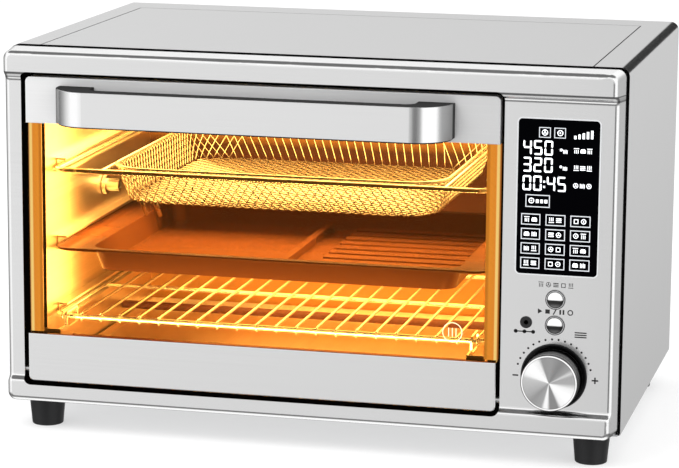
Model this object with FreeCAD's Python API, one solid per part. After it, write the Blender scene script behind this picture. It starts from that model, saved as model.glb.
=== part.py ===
"""Countertop toaster oven with a drop-down glass door, a control panel and three shelves.

Drawing axes: X to the right, Y back from the front face of the bezel, Z up from the underside of
the body. save() moves every piece to the part's own frame, whose origin is on the ground under the
middle of the whole oven.
"""
import FreeCAD, Part
import math
import os

os.makedirs("parts", exist_ok=True)
V = FreeCAD.Vector

# Body
BODY_W = 480.0
BODY_H = 278.5
BODY_D = 310.5
FOOT_H = 24.0
HANDLE_REACH = 30.0
SPACER_H = 6.0
HALF_W = BODY_W / 2
SHEET = 1.0

# Front bezel: a proud bar above and below, and a band set back between them
BEZEL_SHEET = 1.5
BEZEL_DEPTH = 16.5
BEZEL_CORNER = 6.5
BEZEL_EDGE = 4.2
BEZEL_X = (-HALF_W, HALF_W - 1.0)
BEZEL_H = BODY_H - 0.6
BEZEL_TAPER_X = 5.0
BEZEL_TAPER_Z = 3.0
BAND_SET_BACK = 4.0
LOW_STEP = (15.0, 21.5)
HIGH_STEP = (252.0, 259.5)
COVER_FRONT = 21.0
COVER_CORNER = 7.0

# Door, in its opening
DOOR_X = (-222.5, 147.6)
DOOR_Z = (16.5, 256.0)
DOOR_Y = (2.5, 13.0)
OPENING_X = (-226.4, 150.6)
OPENING_Z = (13.5, 259.5)
TOP_RAIL_Z = 220.0
BOTTOM_RAIL_Z = 54.5
GLASS_Y = (4.5, 8.5)
GLASS_LAP = 12.0
DOOR_MID = (DOOR_X[0] + DOOR_X[1]) / 2
HINGE_Y = 8.5
HINGE_Z = 24.5
PIN_R = 2.5
RUNNING_FIT = 0.05

# Handle
HANDLE_MID = -40.5
HANDLE_HALF = 154.0
HANDLE_Z = (223.8, 249.8)
HANDLE_BEND = 28.0
BAND_T = 1.5
CORE_T = 14.0
CORE_DROP = 1.2
POST_L = 26.0

# Cooking cavity
CAV_X = (-213.0, 138.0)
CAV_Y = (20.0, 290.0)
CAV_Z = (16.0, 236.0)
FLANGE_Y = (19.0, 20.0)

# Shelves
SHELF_X = (-211.5, 136.5)
SHELF_FRONT = 28.0
SHELF_BACK = 262.0
RACK_Z = 63.5
TRAY_Z = 118.0
FRAME_Z = 179.5
FRAME_WIRE_R = 2.0
CROSS_WIRE_R = 1.1
RAIL_Y = (45.0, 272.0)
RAIL_OUT = 8.0
RAIL_SLOT = 8.0
RAIL_T = 1.5

# Basket tub
BASKET_X = (-168.0, 98.0)
BASKET_Y = (34.0, 272.0)
BASKET_Z = (153.5, 182.5)
BASKET_SLOPE = 9.0
BASKET_CORNER = 30.0
BASKET_T = 1.2

# Heaters
HEATER_R = 3.3
LOWER_HEATERS = ((82.0, 33.0), (212.0, 33.0))
UPPER_HEATERS = ((70.0, 222.0), (155.0, 222.0), (240.0, 222.0))

# Control panel
PANEL_X = 191.3
DISPLAY_X = (161.2, 221.8)
DISPLAY_Z = (124.2, 240.6)
BUTTON_Z = {"function_button": 105.3, "start_button": 85.8}
BUTTON_R = 5.75
BUTTON_RING_R = 7.5
BUTTON_TRAVEL = 1.5
JACK = (169.6, 86.9)
JACK_R = 4.5
KNOB_Z = 46.6
KNOB_R = 21.5
RECESS_R = 25.0
BOARD_Y = 22.0

# Right-hand bay and left-hand bay
FAN_YZ = (160.0, 138.0)
FAN_HOUSING_R = 70.0
FAN_HOUSING_X = (139.0, 165.0)
LAMP_YZ = (60.0, 205.0)
HUB_YZ = (162.0, 145.0)

# Feet and outlets
FOOT_X = 217.0
FOOT_Y = (30.0, 272.0)
GLAND_XZ = (205.0, 40.0)
GLAND_BORE_R = 4.2

FRAME_SHIFT = V(0, HANDLE_REACH - (HANDLE_REACH + BODY_D + SPACER_H) / 2, FOOT_H)


# ---------------------------------------------------------------- helpers

def save(name, *pieces):
    """Move the pieces to the part's own frame and write them as one sub-part."""
    shape = pieces[0] if len(pieces) == 1 else Part.makeCompound(list(pieces))
    shape = shape.translated(FRAME_SHIFT)
    shape.exportStep("parts/" + name + ".step")


def fuse(pieces):
    return pieces[0].multiFuse(pieces[1:]).removeSplitter()


def box(x, y, z):
    """A box from three (low, high) pairs."""
    return Part.makeBox(x[1] - x[0], y[1] - y[0], z[1] - z[0], V(x[0], y[0], z[0]))


def rod(axis, centre, radius, span):
    """A cylinder along a main axis; centre holds its other two coordinates in order."""
    if axis == "x":
        return Part.makeCylinder(radius, span[1] - span[0], V(span[0], *centre), V(1, 0, 0))
    if axis == "y":
        return Part.makeCylinder(radius, span[1] - span[0], V(centre[0], span[0], centre[1]), V(0, 1, 0))
    return Part.makeCylinder(radius, span[1] - span[0], V(*centre, span[0]), V(0, 0, 1))


def tube(axis, centre, outer, inner, span):
    return rod(axis, centre, outer, span).cut(rod(axis, centre, inner, span))


def rounded_outline(u, v, radius, place):
    """A closed wire round a rectangle with arc corners; place(u, v) gives the 3-D point."""
    (u0, u1), (v0, v1) = u, v
    bulge = radius * (1 - math.sqrt(0.5))
    corners = ((u1, v0, -1, 1), (u1, v1, -1, -1), (u0, v1, 1, -1), (u0, v0, 1, 1))
    edges = []
    ends = []
    for i, (cu, cv, su, sv) in enumerate(corners):
        along_u = place(cu + su * radius, cv)
        along_v = place(cu, cv + sv * radius)
        first, last = (along_u, along_v) if i % 2 == 0 else (along_v, along_u)
        middle = place(cu + su * bulge, cv + sv * bulge)
        ends.append((first, last))
        edges.append(Part.Arc(first, middle, last).toShape())
    for i in range(4):
        edges.insert(2 * i + 1, Part.makeLine(ends[i][1], ends[(i + 1) % 4][0]))
    return Part.Wire(edges)


def slab_y(x, z, radius, y):
    """A plate across the front, with rounded corners, between two depths."""
    wire = rounded_outline(x, z, radius, lambda u, v: V(u, y[0], v))
    return Part.Face(wire).extrude(V(0, y[1] - y[0], 0))


def slab_z(x, y, radius, z):
    """A level plate with rounded corners."""
    wire = rounded_outline(x, y, radius, lambda u, v: V(u, v, z[0]))
    return Part.Face(wire).extrude(V(0, 0, z[1] - z[0]))


def wire_loop(x, y, z, corner, radius):
    """A round wire bent into a level rounded rectangle, measured to the wire's centre."""
    path = rounded_outline(x, y, corner, lambda u, v: V(u, v, z))
    start = path.Edges[0].Vertexes[0].Point
    profile = Part.Wire(Part.makeCircle(radius, start, V(1, 0, 0)))
    return Part.Wire(path).makePipeShell([profile], True, False)


def grow(pair, amount):
    return (pair[0] - amount, pair[1] + amount)


def screw(axis, centre, head_r, head, shank_r, shank):
    """A pan-head screw: head and shank are (low, high) spans along the axis."""
    return rod(axis, centre, head_r, head).fuse(rod(axis, centre, shank_r, shank)).removeSplitter()


def edges_where(shape, test):
    return [e for e in shape.Edges if test(e.BoundBox)]


# ---------------------------------------------------------------- casing

def s_step(y0, z0, y1, z1):
    """Two tangent arcs that join two upright lines, one set back from the other."""
    half_y = (y1 - y0) / 2
    half_z = (z1 - z0) / 2
    radius = (half_y ** 2 + half_z ** 2) / (2 * abs(half_y))
    half_turn = math.asin(half_z / radius) / 2
    dy = math.copysign(radius * (1 - math.cos(half_turn)), half_y)
    dz = radius * math.sin(half_turn)
    middle = V(0, y0 + half_y, z0 + half_z)
    lower = Part.Arc(V(0, y0, z0), V(0, y0 + dy, z0 + dz), middle)
    upper = Part.Arc(middle, V(0, y1 - dy, z1 - dz), V(0, y1, z1))
    return [lower.toShape(), upper.toShape()]


def bezel_block(inset, corner, edge):
    """The bezel's outside as a solid block, or its inside when inset by the sheet."""
    band = BAND_SET_BACK + inset
    low, high = inset, BEZEL_H - inset
    back = BEZEL_DEPTH + inset
    profile = [Part.makeLine(V(0, inset, low), V(0, inset, LOW_STEP[0]))]
    profile += s_step(inset, LOW_STEP[0], band, LOW_STEP[1])
    profile.append(Part.makeLine(V(0, band, LOW_STEP[1]), V(0, band, HIGH_STEP[0])))
    profile += s_step(band, HIGH_STEP[0], inset, HIGH_STEP[1])
    profile.append(Part.makeLine(V(0, inset, HIGH_STEP[1]), V(0, inset, high)))
    profile.append(Part.makeLine(V(0, inset, high), V(0, back, high)))
    profile.append(Part.makeLine(V(0, back, high), V(0, back, low)))
    profile.append(Part.makeLine(V(0, back, low), V(0, inset, low)))
    left, right = grow(BEZEL_X, -inset)
    block = Part.Face(Part.Wire(profile)).extrude(V(right - left, 0, 0)).translated(V(left, 0, 0))
    small = rounded_outline((left, right - BEZEL_TAPER_X), (low, high - BEZEL_TAPER_Z), corner,
                            lambda u, v: V(u, inset - 1, v))
    large = rounded_outline((left, right), (low, high), corner, lambda u, v: V(u, back + 1, v))
    block = block.common(Part.makeLoft([small, large], True))
    rim = BEZEL_TAPER_X + corner + 0.01
    return block.makeFillet(edge, edges_where(
        block, lambda b: b.YMin < band + 0.01 and b.YMax < band + 0.01
        and (b.XLength > BODY_W / 2 and (b.ZMin > high - 4 or b.ZMax < low + 4)
             or b.XMin > right - rim or b.XMax < left + rim)))


def front_bezel():
    shell = bezel_block(0, BEZEL_CORNER, BEZEL_EDGE).cut(bezel_block(BEZEL_SHEET, 5.0, 3.4))
    through = (-1.0, BEZEL_DEPTH - 2)
    cuts = [slab_y(OPENING_X, OPENING_Z, 6.0, through)]
    cuts.append(slab_y(grow(DISPLAY_X, 0.3), grow(DISPLAY_Z, 0.3), 3.3, through))
    cuts += [rod("y", (PANEL_X, z), BUTTON_RING_R + 0.1, through) for z in BUTTON_Z.values()]
    cuts.append(rod("y", JACK, JACK_R + 0.1, through))
    cuts.append(rod("y", (PANEL_X, KNOB_Z), RECESS_R + 0.1, through))
    save("front_bezel", shell.cut(cuts))


def outer_cover():
    """Top and both sides in one bent sheet, with a thin line pressed round the top."""
    span = (COVER_FRONT, BODY_D)
    half = HALF_W
    top = BODY_H
    outer = slab_y((-half, half), (-20.0, top), COVER_CORNER, span)
    inner = slab_y((SHEET - half, half - SHEET), (-30.0, top - SHEET), COVER_CORNER - SHEET, span)
    cover = outer.cut(inner).cut(box((-half, half), span, (-31.0, 0.0)))
    line_x = (-216.0, 213.5)
    line_y = (COVER_FRONT - 5.0, 275.0)
    line_w = 1.0
    line_z = (top - 0.5, top + 1.0)
    line = slab_z(line_x, line_y, 2.0, line_z).cut(
        slab_z(grow(line_x, -line_w), grow(line_y, -line_w), 1.2, line_z))
    save("outer_cover", cover.cut(line))


def slot_grid(xs, zs, length, width, y):
    """Upright ventilation slots with round ends, cut through a panel that faces front or back."""
    slots = []
    for x in xs:
        for z in zs:
            slots.append(slab_y((x - width / 2, x + width / 2), (z, z + length), width * 0.45, y))
    return slots


BACK_SCREWS = [(x, z) for x in (-228.0, 0.0, 228.0) for z in (10.0, 266.0)]
SPACERS = [(-150.0, 235.0), (150.0, 235.0)]


def back_panel():
    span = (BODY_D - 1.5, BODY_D - 0.5)
    panel = slab_y(grow((-HALF_W, HALF_W), -1.6), (1.4, BODY_H - 1.7), COVER_CORNER - SHEET, span)
    past = grow(span, 1)
    cuts = slot_grid([160 + 8 * i for i in range(9)], (90.0, 130.0, 170.0), 30.0, 3.0, past)
    cuts += slot_grid([-204 + 8 * i for i in range(3)], (110.0, 150.0), 30.0, 3.0, past)
    cuts += [rod("y", at, 1.6, past) for at in BACK_SCREWS]
    cuts += [rod("y", at, 2.1, past) for at in SPACERS]
    cuts.append(rod("y", GLAND_XZ, 8.1, past))
    save("back_panel", panel.cut(cuts))
    head, shank = (BODY_D - 0.5, BODY_D + 1.5), (BODY_D - 9, BODY_D - 0.4)
    save("back_screws", *[screw("y", at, 3.2, head, 1.5, shank) for at in BACK_SCREWS])


def base_plate():
    plate = box(grow((-HALF_W, HALF_W), -1.6), (BEZEL_DEPTH + 0.5, BODY_D - 1.6), (0.0, 1.2))
    cuts = [rod("z", (sx * FOOT_X, y), 2.1, (-1.0, 2.0)) for sx in (-1, 1) for y in FOOT_Y]
    for x0 in (-140.0, -60.0, 20.0, 160.0):
        for i in range(6):
            y0 = 100.0 + 16 * i
            cuts.append(slab_z((x0, x0 + 45), (y0, y0 + 4), 1.8, (-1.0, 2.0)))
    save("base_plate", plate.cut(cuts))


def feet():
    top_r, bottom_r = 14.5, 12.25
    bodies, screws = [], []
    for sx in (-1, 1):
        for y in FOOT_Y:
            at = (sx * FOOT_X, y)
            foot = Part.makeCone(bottom_r, top_r, FOOT_H, V(*at, -FOOT_H))
            foot = foot.makeFillet(1.2, [e for e in foot.Edges if e.BoundBox.ZMax < 0.1 - FOOT_H])
            foot = foot.cut([rod("z", at, 2.1, (-FOOT_H, 0.0)), rod("z", at, 4.6, (-FOOT_H, -8.0))])
            bodies.append(foot)
            screws.append(screw("z", at, 4.0, (-10.5, -8.0), 2.0, (-8.1, 6.0)))
    save("feet", *bodies)
    save("foot_screws", *screws)


def rear_outlets():
    """Two stand-off spacers, and the gland that the supply cord would leave by."""
    spacers = []
    for at in SPACERS:
        cone = Part.makeCone(9.0, 7.0, SPACER_H, V(at[0], BODY_D, at[1]), V(0, 1, 0))
        stem = rod("y", at, 2.0, (BODY_D - 8, BODY_D + 0.1))
        seat = rod("y", at, 9.0, (BODY_D - 0.5, BODY_D))
        spacers.append(fuse([cone, stem, seat]))
    save("rear_spacers", *spacers)
    flange = rod("y", GLAND_XZ, 11.0, (BODY_D - 0.5, BODY_D + 2))
    sleeve = rod("y", GLAND_XZ, 8.0, (BODY_D - 8, BODY_D))
    nose = Part.makeCone(9.0, 7.0, 3.0, V(GLAND_XZ[0], BODY_D + 2, GLAND_XZ[1]), V(0, 1, 0))
    bore = rod("y", GLAND_XZ, GLAND_BORE_R, (BODY_D - 9, BODY_D + 6))
    save("cord_gland", fuse([flange, sleeve, nose]).cut(bore))


# ---------------------------------------------------------------- cooking cavity

def heater_holes(x):
    return [rod("x", at, HEATER_R + 0.9, x) for at in LOWER_HEATERS + UPPER_HEATERS]


def cavity_box():
    """Five steel walls and the flange round the mouth."""
    wall_y = (CAV_Y[0], CAV_Y[1] + SHEET)
    wall_z = grow(CAV_Z, SHEET)
    left = (CAV_X[0] - SHEET, CAV_X[0])
    right = (CAV_X[1], CAV_X[1] + SHEET)
    left_wall = box(left, wall_y, wall_z)
    hub_hole = rod("x", HUB_YZ, 6.0, grow(left, 1))
    save("cavity_left_wall", left_wall.cut(heater_holes(grow(left, 1)) + [hub_hole]))
    cuts = heater_holes(grow(right, 1)) + [rod("x", LAMP_YZ, 12.0, grow(right, 1))]
    for ring_r, count in ((12.0, 6), (26.0, 12), (40.0, 18), (54.0, 24)):
        for i in range(count):
            turn = 2 * math.pi * i / count
            at = (FAN_YZ[0] + ring_r * math.cos(turn), FAN_YZ[1] + ring_r * math.sin(turn))
            cuts.append(rod("x", at, 3.0, grow(right, 1)))
    save("cavity_right_wall", box(right, wall_y, wall_z).cut(cuts))
    save("cavity_ceiling", box(CAV_X, wall_y, (CAV_Z[1], CAV_Z[1] + SHEET)))
    save("cavity_floor", box(CAV_X, wall_y, (CAV_Z[0] - SHEET, CAV_Z[0])))
    back = box(CAV_X, (CAV_Y[1], CAV_Y[1] + SHEET), CAV_Z)
    vent_x = [CAV_X[1] - 60 + 9 * i for i in range(5)]
    vents = slot_grid(vent_x, (200.0,), 22.0, 3.0, (CAV_Y[1] - 1, CAV_Y[1] + 2))
    save("cavity_back", back.cut(vents))
    flange = slab_y((1.6 - HALF_W, 166.0), (1.4, BODY_H - 1.7), COVER_CORNER - SHEET, FLANGE_Y)
    mouth = slab_y(CAV_X, CAV_Z, 0.5, grow(FLANGE_Y, 1))
    save("cavity_flange", flange.cut(mouth))
    seal = slab_y(grow(OPENING_X, -0.5), grow(OPENING_Z, -0.5), 6.0, (FLANGE_Y[0] - 1, FLANGE_Y[0]))
    hole = slab_y(grow(OPENING_X, -6.5), grow(OPENING_Z, -5.5), 4.0, (FLANGE_Y[0] - 2, FLANGE_Y[0] + 1))
    save("door_gasket", seal.cut(hole))


def shelf_rails():
    """On each side, three channels that the shelves' edges slide in."""
    for name, wall_x, sign in (("left_rails", CAV_X[0], 1), ("right_rails", CAV_X[1], -1)):
        rails = []
        for ledge in (RACK_Z - 2.8, TRAY_Z - 3.3, FRAME_Z - 2.8):
            across = sorted((wall_x, wall_x + sign * RAIL_OUT))
            slot = sorted((wall_x + sign * SHEET, wall_x + sign * (RAIL_OUT + 1)))
            channel = box(across, RAIL_Y, (ledge - RAIL_T, ledge + RAIL_SLOT + RAIL_T))
            rails.append(channel.cut(box(slot, grow(RAIL_Y, 1), (ledge, ledge + RAIL_SLOT))))
        save(name, *rails)


def heaters():
    """Sheathed heater rods across the cavity, each held by a ceramic bush at both ends."""
    sheath_x = (CAV_X[0] - 9, CAV_X[1] + 9)
    pin_x = grow(sheath_x, 7)
    bushes = []
    for name, places in (("lower_heaters", LOWER_HEATERS), ("upper_heaters", UPPER_HEATERS)):
        rods = []
        for at in places:
            rods.append(rod("x", at, HEATER_R, sheath_x).fuse(rod("x", at, 1.5, pin_x)).removeSplitter())
            bushes.append(tube("x", at, 7.0, HEATER_R, (CAV_X[0] - SHEET - 5, CAV_X[0] - SHEET)))
            bushes.append(tube("x", at, 7.0, HEATER_R, (CAV_X[1] + SHEET, CAV_X[1] + SHEET + 5)))
        save(name, *rods)
    save("heater_bushes", *bushes)


def crumb_tray():
    """A shallow pan that lies loose on the cavity floor."""
    x, y = grow(CAV_X, -2), (CAV_Y[0] + 4, CAV_Y[1] - 3)
    floor = CAV_Z[0]
    pan = box(x, y, (floor, floor + 7)).cut(box(grow(x, -0.8), grow(y, -0.8), (floor + 0.8, floor + 8)))
    save("crumb_tray", pan)


def oven_lamp():
    lens_x = (CAV_X[1] - 9, CAV_X[1])
    dome = rod("x", LAMP_YZ, 15.0, lens_x)
    dome = dome.makeFillet(5.0, [e for e in dome.Edges if e.BoundBox.XMax < lens_x[0] + 0.1])
    hollow = rod("x", LAMP_YZ, 13.0, (lens_x[0] + 2, lens_x[1]))
    save("lamp_lens", dome.cut(hollow))
    bulb = rod("x", LAMP_YZ, 8.0, (CAV_X[1] - 4, CAV_X[1] + 22))
    bulb = bulb.makeFillet(5.0, [e for e in bulb.Edges if e.BoundBox.XMax < CAV_X[1] - 3.9])
    cap = rod("x", LAMP_YZ, 10.0, (CAV_X[1] + 18, CAV_X[1] + 42))
    save("lamp_bulb", bulb.fuse(cap).removeSplitter())


def convection():
    """Fan in a drum behind the pierced right wall, and its motor beyond."""
    drum = rod("x", FAN_YZ, FAN_HOUSING_R, FAN_HOUSING_X)
    inside = rod("x", FAN_YZ, FAN_HOUSING_R - SHEET, (FAN_HOUSING_X[0] - 1, FAN_HOUSING_X[1] - SHEET))
    save("fan_housing", drum.cut([inside, rod("x", FAN_YZ, 4.5, grow(FAN_HOUSING_X, 1))]))
    shaft_r = 3.0
    disc_x = (FAN_HOUSING_X[1] - 8, FAN_HOUSING_X[1] - 7)
    blade_x = (FAN_HOUSING_X[0] + 5, disc_x[0] + 0.2)
    blades = []
    blade_count = 8
    for i in range(blade_count):
        blade = box(blade_x, (22.0, 56.0), (-0.5, 0.5))
        blade.rotate(V(0, 0, 0), V(1, 0, 0), 360 * i / blade_count)
        blades.append(blade.translated(V(0, *FAN_YZ)))
    hub = rod("x", FAN_YZ, 8.0, (disc_x[0] - 6, disc_x[1]))
    wheel = fuse([rod("x", FAN_YZ, 60.0, disc_x), hub] + blades)
    save("convection_fan", wheel.cut(rod("x", FAN_YZ, shaft_r, (0.0, 300.0))))
    save("fan_shaft", rod("x", FAN_YZ, shaft_r, (disc_x[0] - 8, FAN_HOUSING_X[1] + 12)))
    motor_x = (FAN_HOUSING_X[1] + 4, FAN_HOUSING_X[1] + 36)
    can = rod("x", FAN_YZ, 26.0, motor_x)
    ear_y = (FAN_YZ[0] - 34, FAN_YZ[0] + 34)
    ear = box((motor_x[0] - 4, motor_x[0] + 1), ear_y, (FAN_YZ[1] - 6, FAN_YZ[1] + 6))
    bore = rod("x", FAN_YZ, shaft_r + RUNNING_FIT, (motor_x[0] - 5, FAN_HOUSING_X[1] + 13))
    save("fan_motor", can.fuse(ear).cut([bore, rod("x", FAN_YZ, 8.0, (motor_x[0] - 5, motor_x[0]))]))


def rotisserie_drive():
    """Gear motor in the left bay, and the socket that a spit's square end pushes into."""
    neck_r = 4.0
    motor_y, motor_z = [(c - 25, c + 25) for c in HUB_YZ]
    motor = slab_z((-237.0, -217.0), motor_y, 3.0, motor_z)
    save("rotisserie_motor", motor.cut(rod("x", HUB_YZ, neck_r + RUNNING_FIT, (-229.0, -216.0))))
    neck = rod("x", HUB_YZ, neck_r, (-228.5, CAV_X[0] + 1))
    flange = rod("x", HUB_YZ, 8.0, (CAV_X[0] + 0.6, CAV_X[0] + 3.6))
    nose = rod("x", HUB_YZ, 5.2, (CAV_X[0] + 3.5, CAV_X[0] + 14))
    socket = box((CAV_X[0] + 4, CAV_X[0] + 15), *[(c - 3.2, c + 3.2) for c in HUB_YZ])
    save("rotisserie_hub", fuse([neck, flange, nose]).cut(socket))


# ---------------------------------------------------------------- shelves

def wire_rack():
    """Rim wire with cross wires laid over its front and back runs."""
    x = grow(SHELF_X, -FRAME_WIRE_R)
    y = (SHELF_FRONT + FRAME_WIRE_R, SHELF_BACK - FRAME_WIRE_R)
    rim = wire_loop(x, y, RACK_Z, 10.0, FRAME_WIRE_R)
    cross_count = 22
    first, last = SHELF_X[0] + 8, SHELF_X[1] - 8
    pitch = (last - first) / (cross_count - 1)
    cross_z = RACK_Z + FRAME_WIRE_R + CROSS_WIRE_R - 0.6
    wires = []
    for i in range(cross_count):
        wires.append(rod("y", (first + pitch * i, cross_z), CROSS_WIRE_R, grow(y, 1.0)))
    brace = rod("x", ((y[0] + y[1]) / 2, RACK_Z + 0.6), FRAME_WIRE_R - 0.4, x)
    save("wire_rack", fuse([rim, brace] + wires))


TRAY_WELL_X = (-183.0, 112.0)
TRAY_WELL_Y = (SHELF_FRONT + 6, 254.0)
TRAY_DEEP = 18.0
TRAY_CORNER = 14.0


def baking_tray():
    """Wide-rimmed tray: plain on the left, a divider, then grill ribs on the right."""
    draft = 5.0
    floor = TRAY_Z - TRAY_DEEP
    rim = slab_z(SHELF_X, (SHELF_FRONT, SHELF_BACK), TRAY_CORNER, (TRAY_Z - SHEET, TRAY_Z))
    well_out = tapered_tub(TRAY_WELL_X, TRAY_WELL_Y, TRAY_CORNER, (floor, TRAY_Z), draft)
    well_in = tapered_tub(grow(TRAY_WELL_X, -SHEET), grow(TRAY_WELL_Y, -SHEET), TRAY_CORNER - SHEET,
                          (floor + SHEET, TRAY_Z + 0.5), draft)
    bead = wire_loop(grow(SHELF_X, -1.2), (SHELF_FRONT + 1.2, SHELF_BACK - 1.2), TRAY_Z - 1.0,
                     TRAY_CORNER - 1.2, 1.2)
    ribs = []
    rib_h, rib_w, rib_pitch, rib_count = 4.0, 13.0, 19.0, 10
    for i in range(rib_count):
        y0 = TRAY_WELL_Y[0] + 20 + rib_pitch * i
        ribs.append(slab_z((-14.0, 103.0), (y0, y0 + rib_w), 2.0, (floor + 0.5, floor + SHEET + rib_h)))
    divider = slab_z((-42.0, -36.0), grow(TRAY_WELL_Y, -10), 2.9, (floor + 0.5, floor + SHEET + 6))
    save("baking_tray", fuse([rim, well_out, bead]).cut(well_in).fuse([divider] + ribs).removeSplitter())


def tapered_tub(x, y, corner, z, draft):
    """A solid that narrows downwards by draft on every side, with round corners."""
    top = rounded_outline(x, y, corner, lambda u, v: V(u, v, z[1]))
    bottom = rounded_outline(grow(x, -draft), grow(y, -draft), corner, lambda u, v: V(u, v, z[0]))
    return Part.makeLoft([bottom, top], True)


def basket():
    """A level wire frame, and the open tub of mesh that hangs in it by its rim."""
    x = grow(SHELF_X, -FRAME_WIRE_R)
    y = (SHELF_FRONT + FRAME_WIRE_R, BASKET_Y[1] + 4)
    frame = [wire_loop(x, y, FRAME_Z, 10.0, FRAME_WIRE_R)]
    side_r = 1.5
    for side_x in grow(BASKET_X, 3):
        frame.append(rod("y", (side_x, FRAME_Z + FRAME_WIRE_R - side_r), side_r, y))
    save("basket_frame", fuse(frame))
    rim_z = (FRAME_Z + FRAME_WIRE_R, FRAME_Z + FRAME_WIRE_R + BASKET_T)
    rim = slab_z(grow(BASKET_X, 5), grow(BASKET_Y, 5), BASKET_CORNER + 5, rim_z)
    outer = tapered_tub(BASKET_X, BASKET_Y, BASKET_CORNER, (BASKET_Z[0], rim_z[1]), BASKET_SLOPE)
    inner = tapered_tub(grow(BASKET_X, -BASKET_T), grow(BASKET_Y, -BASKET_T), BASKET_CORNER - BASKET_T,
                        (BASKET_Z[0] + BASKET_T, rim_z[1] + 0.5), BASKET_SLOPE)
    legs = []
    for leg_x in (-147.0, -136.0):
        leg = box((leg_x, leg_x + 4), (0.0, 1.6), (-21.0, 0.0))
        leg.rotate(V(0, 0, 0), V(1, 0, 0), 45.0)
        legs.append(leg.translated(V(0, 56.0, BASKET_Z[0] + 1.0)))
    save("mesh_basket", fuse([rim, outer] + legs).cut(inner))


# ---------------------------------------------------------------- door

def door_rail(z, glass_side):
    """A folded channel as wide as the door, open at the back and towards the glass."""
    rail = box(DOOR_X, DOOR_Y, z)
    far = z[1] if glass_side < 0 else z[0]
    corners = edges_where(
        rail, lambda b: b.XLength < 0.01 and b.ZLength < 0.01 and abs(b.ZMin - far) < 0.01)
    rail = rail.makeFillet(4.0, corners)
    front = edges_where(rail, lambda b: b.YMax < DOOR_Y[0] + 0.01)
    rail = rail.makeFillet(0.8, front)
    pocket_z = (z[0] - 1, z[1] - SHEET) if glass_side < 0 else (z[0] + SHEET, z[1] + 1)
    pocket = box(grow(DOOR_X, -SHEET), (DOOR_Y[0] + SHEET, DOOR_Y[1] + 1), pocket_z)
    return rail.cut(pocket)


HANDLE_SCREW_X = (HANDLE_MID - HANDLE_HALF + 14, HANDLE_MID + HANDLE_HALF - 14)
HANDLE_SCREW_Z = 238.5


def door():
    """Glass held between two folded rails, with trims up its sides."""
    top_z = (TOP_RAIL_Z, DOOR_Z[1])
    bottom_z = (DOOR_Z[0], BOTTOM_RAIL_Z)
    holes = [rod("y", (x, HANDLE_SCREW_Z), 2.1, (0.0, 6.0)) for x in HANDLE_SCREW_X]
    save("door_top_rail", door_rail(top_z, -1).cut(holes))
    pins = rod("x", (HINGE_Y, HINGE_Z), PIN_R, grow(DOOR_X, 1))
    save("door_bottom_rail", door_rail(bottom_z, 1).cut(pins))
    glass_z = (BOTTOM_RAIL_Z - GLASS_LAP, TOP_RAIL_Z + GLASS_LAP)
    save("door_glass", slab_y(grow(DOOR_X, -SHEET), glass_z, 2.0, GLASS_Y))
    clamp_x = grow(DOOR_X, -20)
    clamps = [box(clamp_x, (GLASS_Y[1], GLASS_Y[1] + 1.5), (TOP_RAIL_Z + 2, DOOR_Z[1] - 3))]
    clamps.append(box(clamp_x, (GLASS_Y[1], GLASS_Y[1] + 1.5), (DOOR_Z[0] + 19, BOTTOM_RAIL_Z - 3)))
    save("glass_clamps", *clamps)
    trims = []
    trim_w = 10.3
    for edge, sign in ((DOOR_X[0] + 0.2, 1), (DOOR_X[1] - 0.2, -1)):
        web = box(sorted((edge, edge + sign * trim_w)), (GLASS_Y[1], GLASS_Y[1] + SHEET), (55.0, 219.5))
        lip = box(sorted((edge, edge + sign * SHEET)), (GLASS_Y[1], DOOR_Y[1] - 0.2), (55.0, 219.5))
        trims.append(web.fuse(lip).removeSplitter())
    save("door_side_trims", *trims)


def bow(inset, z, back):
    """The handle's plan outline, a bar whose ends bend back to the door, as a solid."""
    x0, x1 = HANDLE_MID - HANDLE_HALF + inset, HANDLE_MID + HANDLE_HALF - inset
    front = inset - HANDLE_REACH
    radius = HANDLE_BEND - inset
    cut_in = radius * (1 - math.sqrt(0.5))
    left = Part.Arc(V(x0, front + radius, 0), V(x0 + cut_in, front + cut_in, 0), V(x0 + radius, front, 0))
    right = Part.Arc(V(x1 - radius, front, 0), V(x1 - cut_in, front + cut_in, 0), V(x1, front + radius, 0))
    edges = [left.toShape()]
    edges.append(Part.makeLine(V(x0 + radius, front, 0), V(x1 - radius, front, 0)))
    edges.append(right.toShape())
    edges.append(Part.makeLine(V(x1, front + radius, 0), V(x1, back, 0)))
    edges.append(Part.makeLine(V(x1, back, 0), V(x0, back, 0)))
    edges.append(Part.makeLine(V(x0, back, 0), V(x0, front + radius, 0)))
    solid = Part.Face(Part.Wire(edges)).extrude(V(0, 0, z[1] - z[0]))
    return solid.translated(V(0, 0, z[0]))


def handle():
    """A bright band bent round a dark core, bolted through the top rail."""
    door_face = DOOR_Y[0]
    band = bow(0, HANDLE_Z, door_face).cut(bow(BAND_T, grow(HANDLE_Z, 1), door_face + 1))
    save("handle_band", band)
    gap_x = grow((HANDLE_MID - HANDLE_HALF, HANDLE_MID + HANDLE_HALF), -POST_L - BAND_T)
    gap_front = BAND_T + CORE_T - HANDLE_REACH
    finger_gap = slab_z(gap_x, (gap_front, door_face + 20), 8.0, grow(HANDLE_Z, 3))
    pilots = [rod("y", (x, HANDLE_SCREW_Z), 2.0, (-12.0, 4.0)) for x in HANDLE_SCREW_X]
    core_z = (HANDLE_Z[0] - CORE_DROP, HANDLE_Z[1])
    core = bow(BAND_T, core_z, door_face).cut([finger_gap] + pilots)
    save("handle_core", core)
    inner_face = door_face + SHEET
    save("handle_screws", *[screw("y", (x, HANDLE_SCREW_Z), 3.8, (inner_face, inner_face + 2.4), 2.0,
                                  (-11.5, inner_face + 0.1)) for x in HANDLE_SCREW_X])


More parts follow.
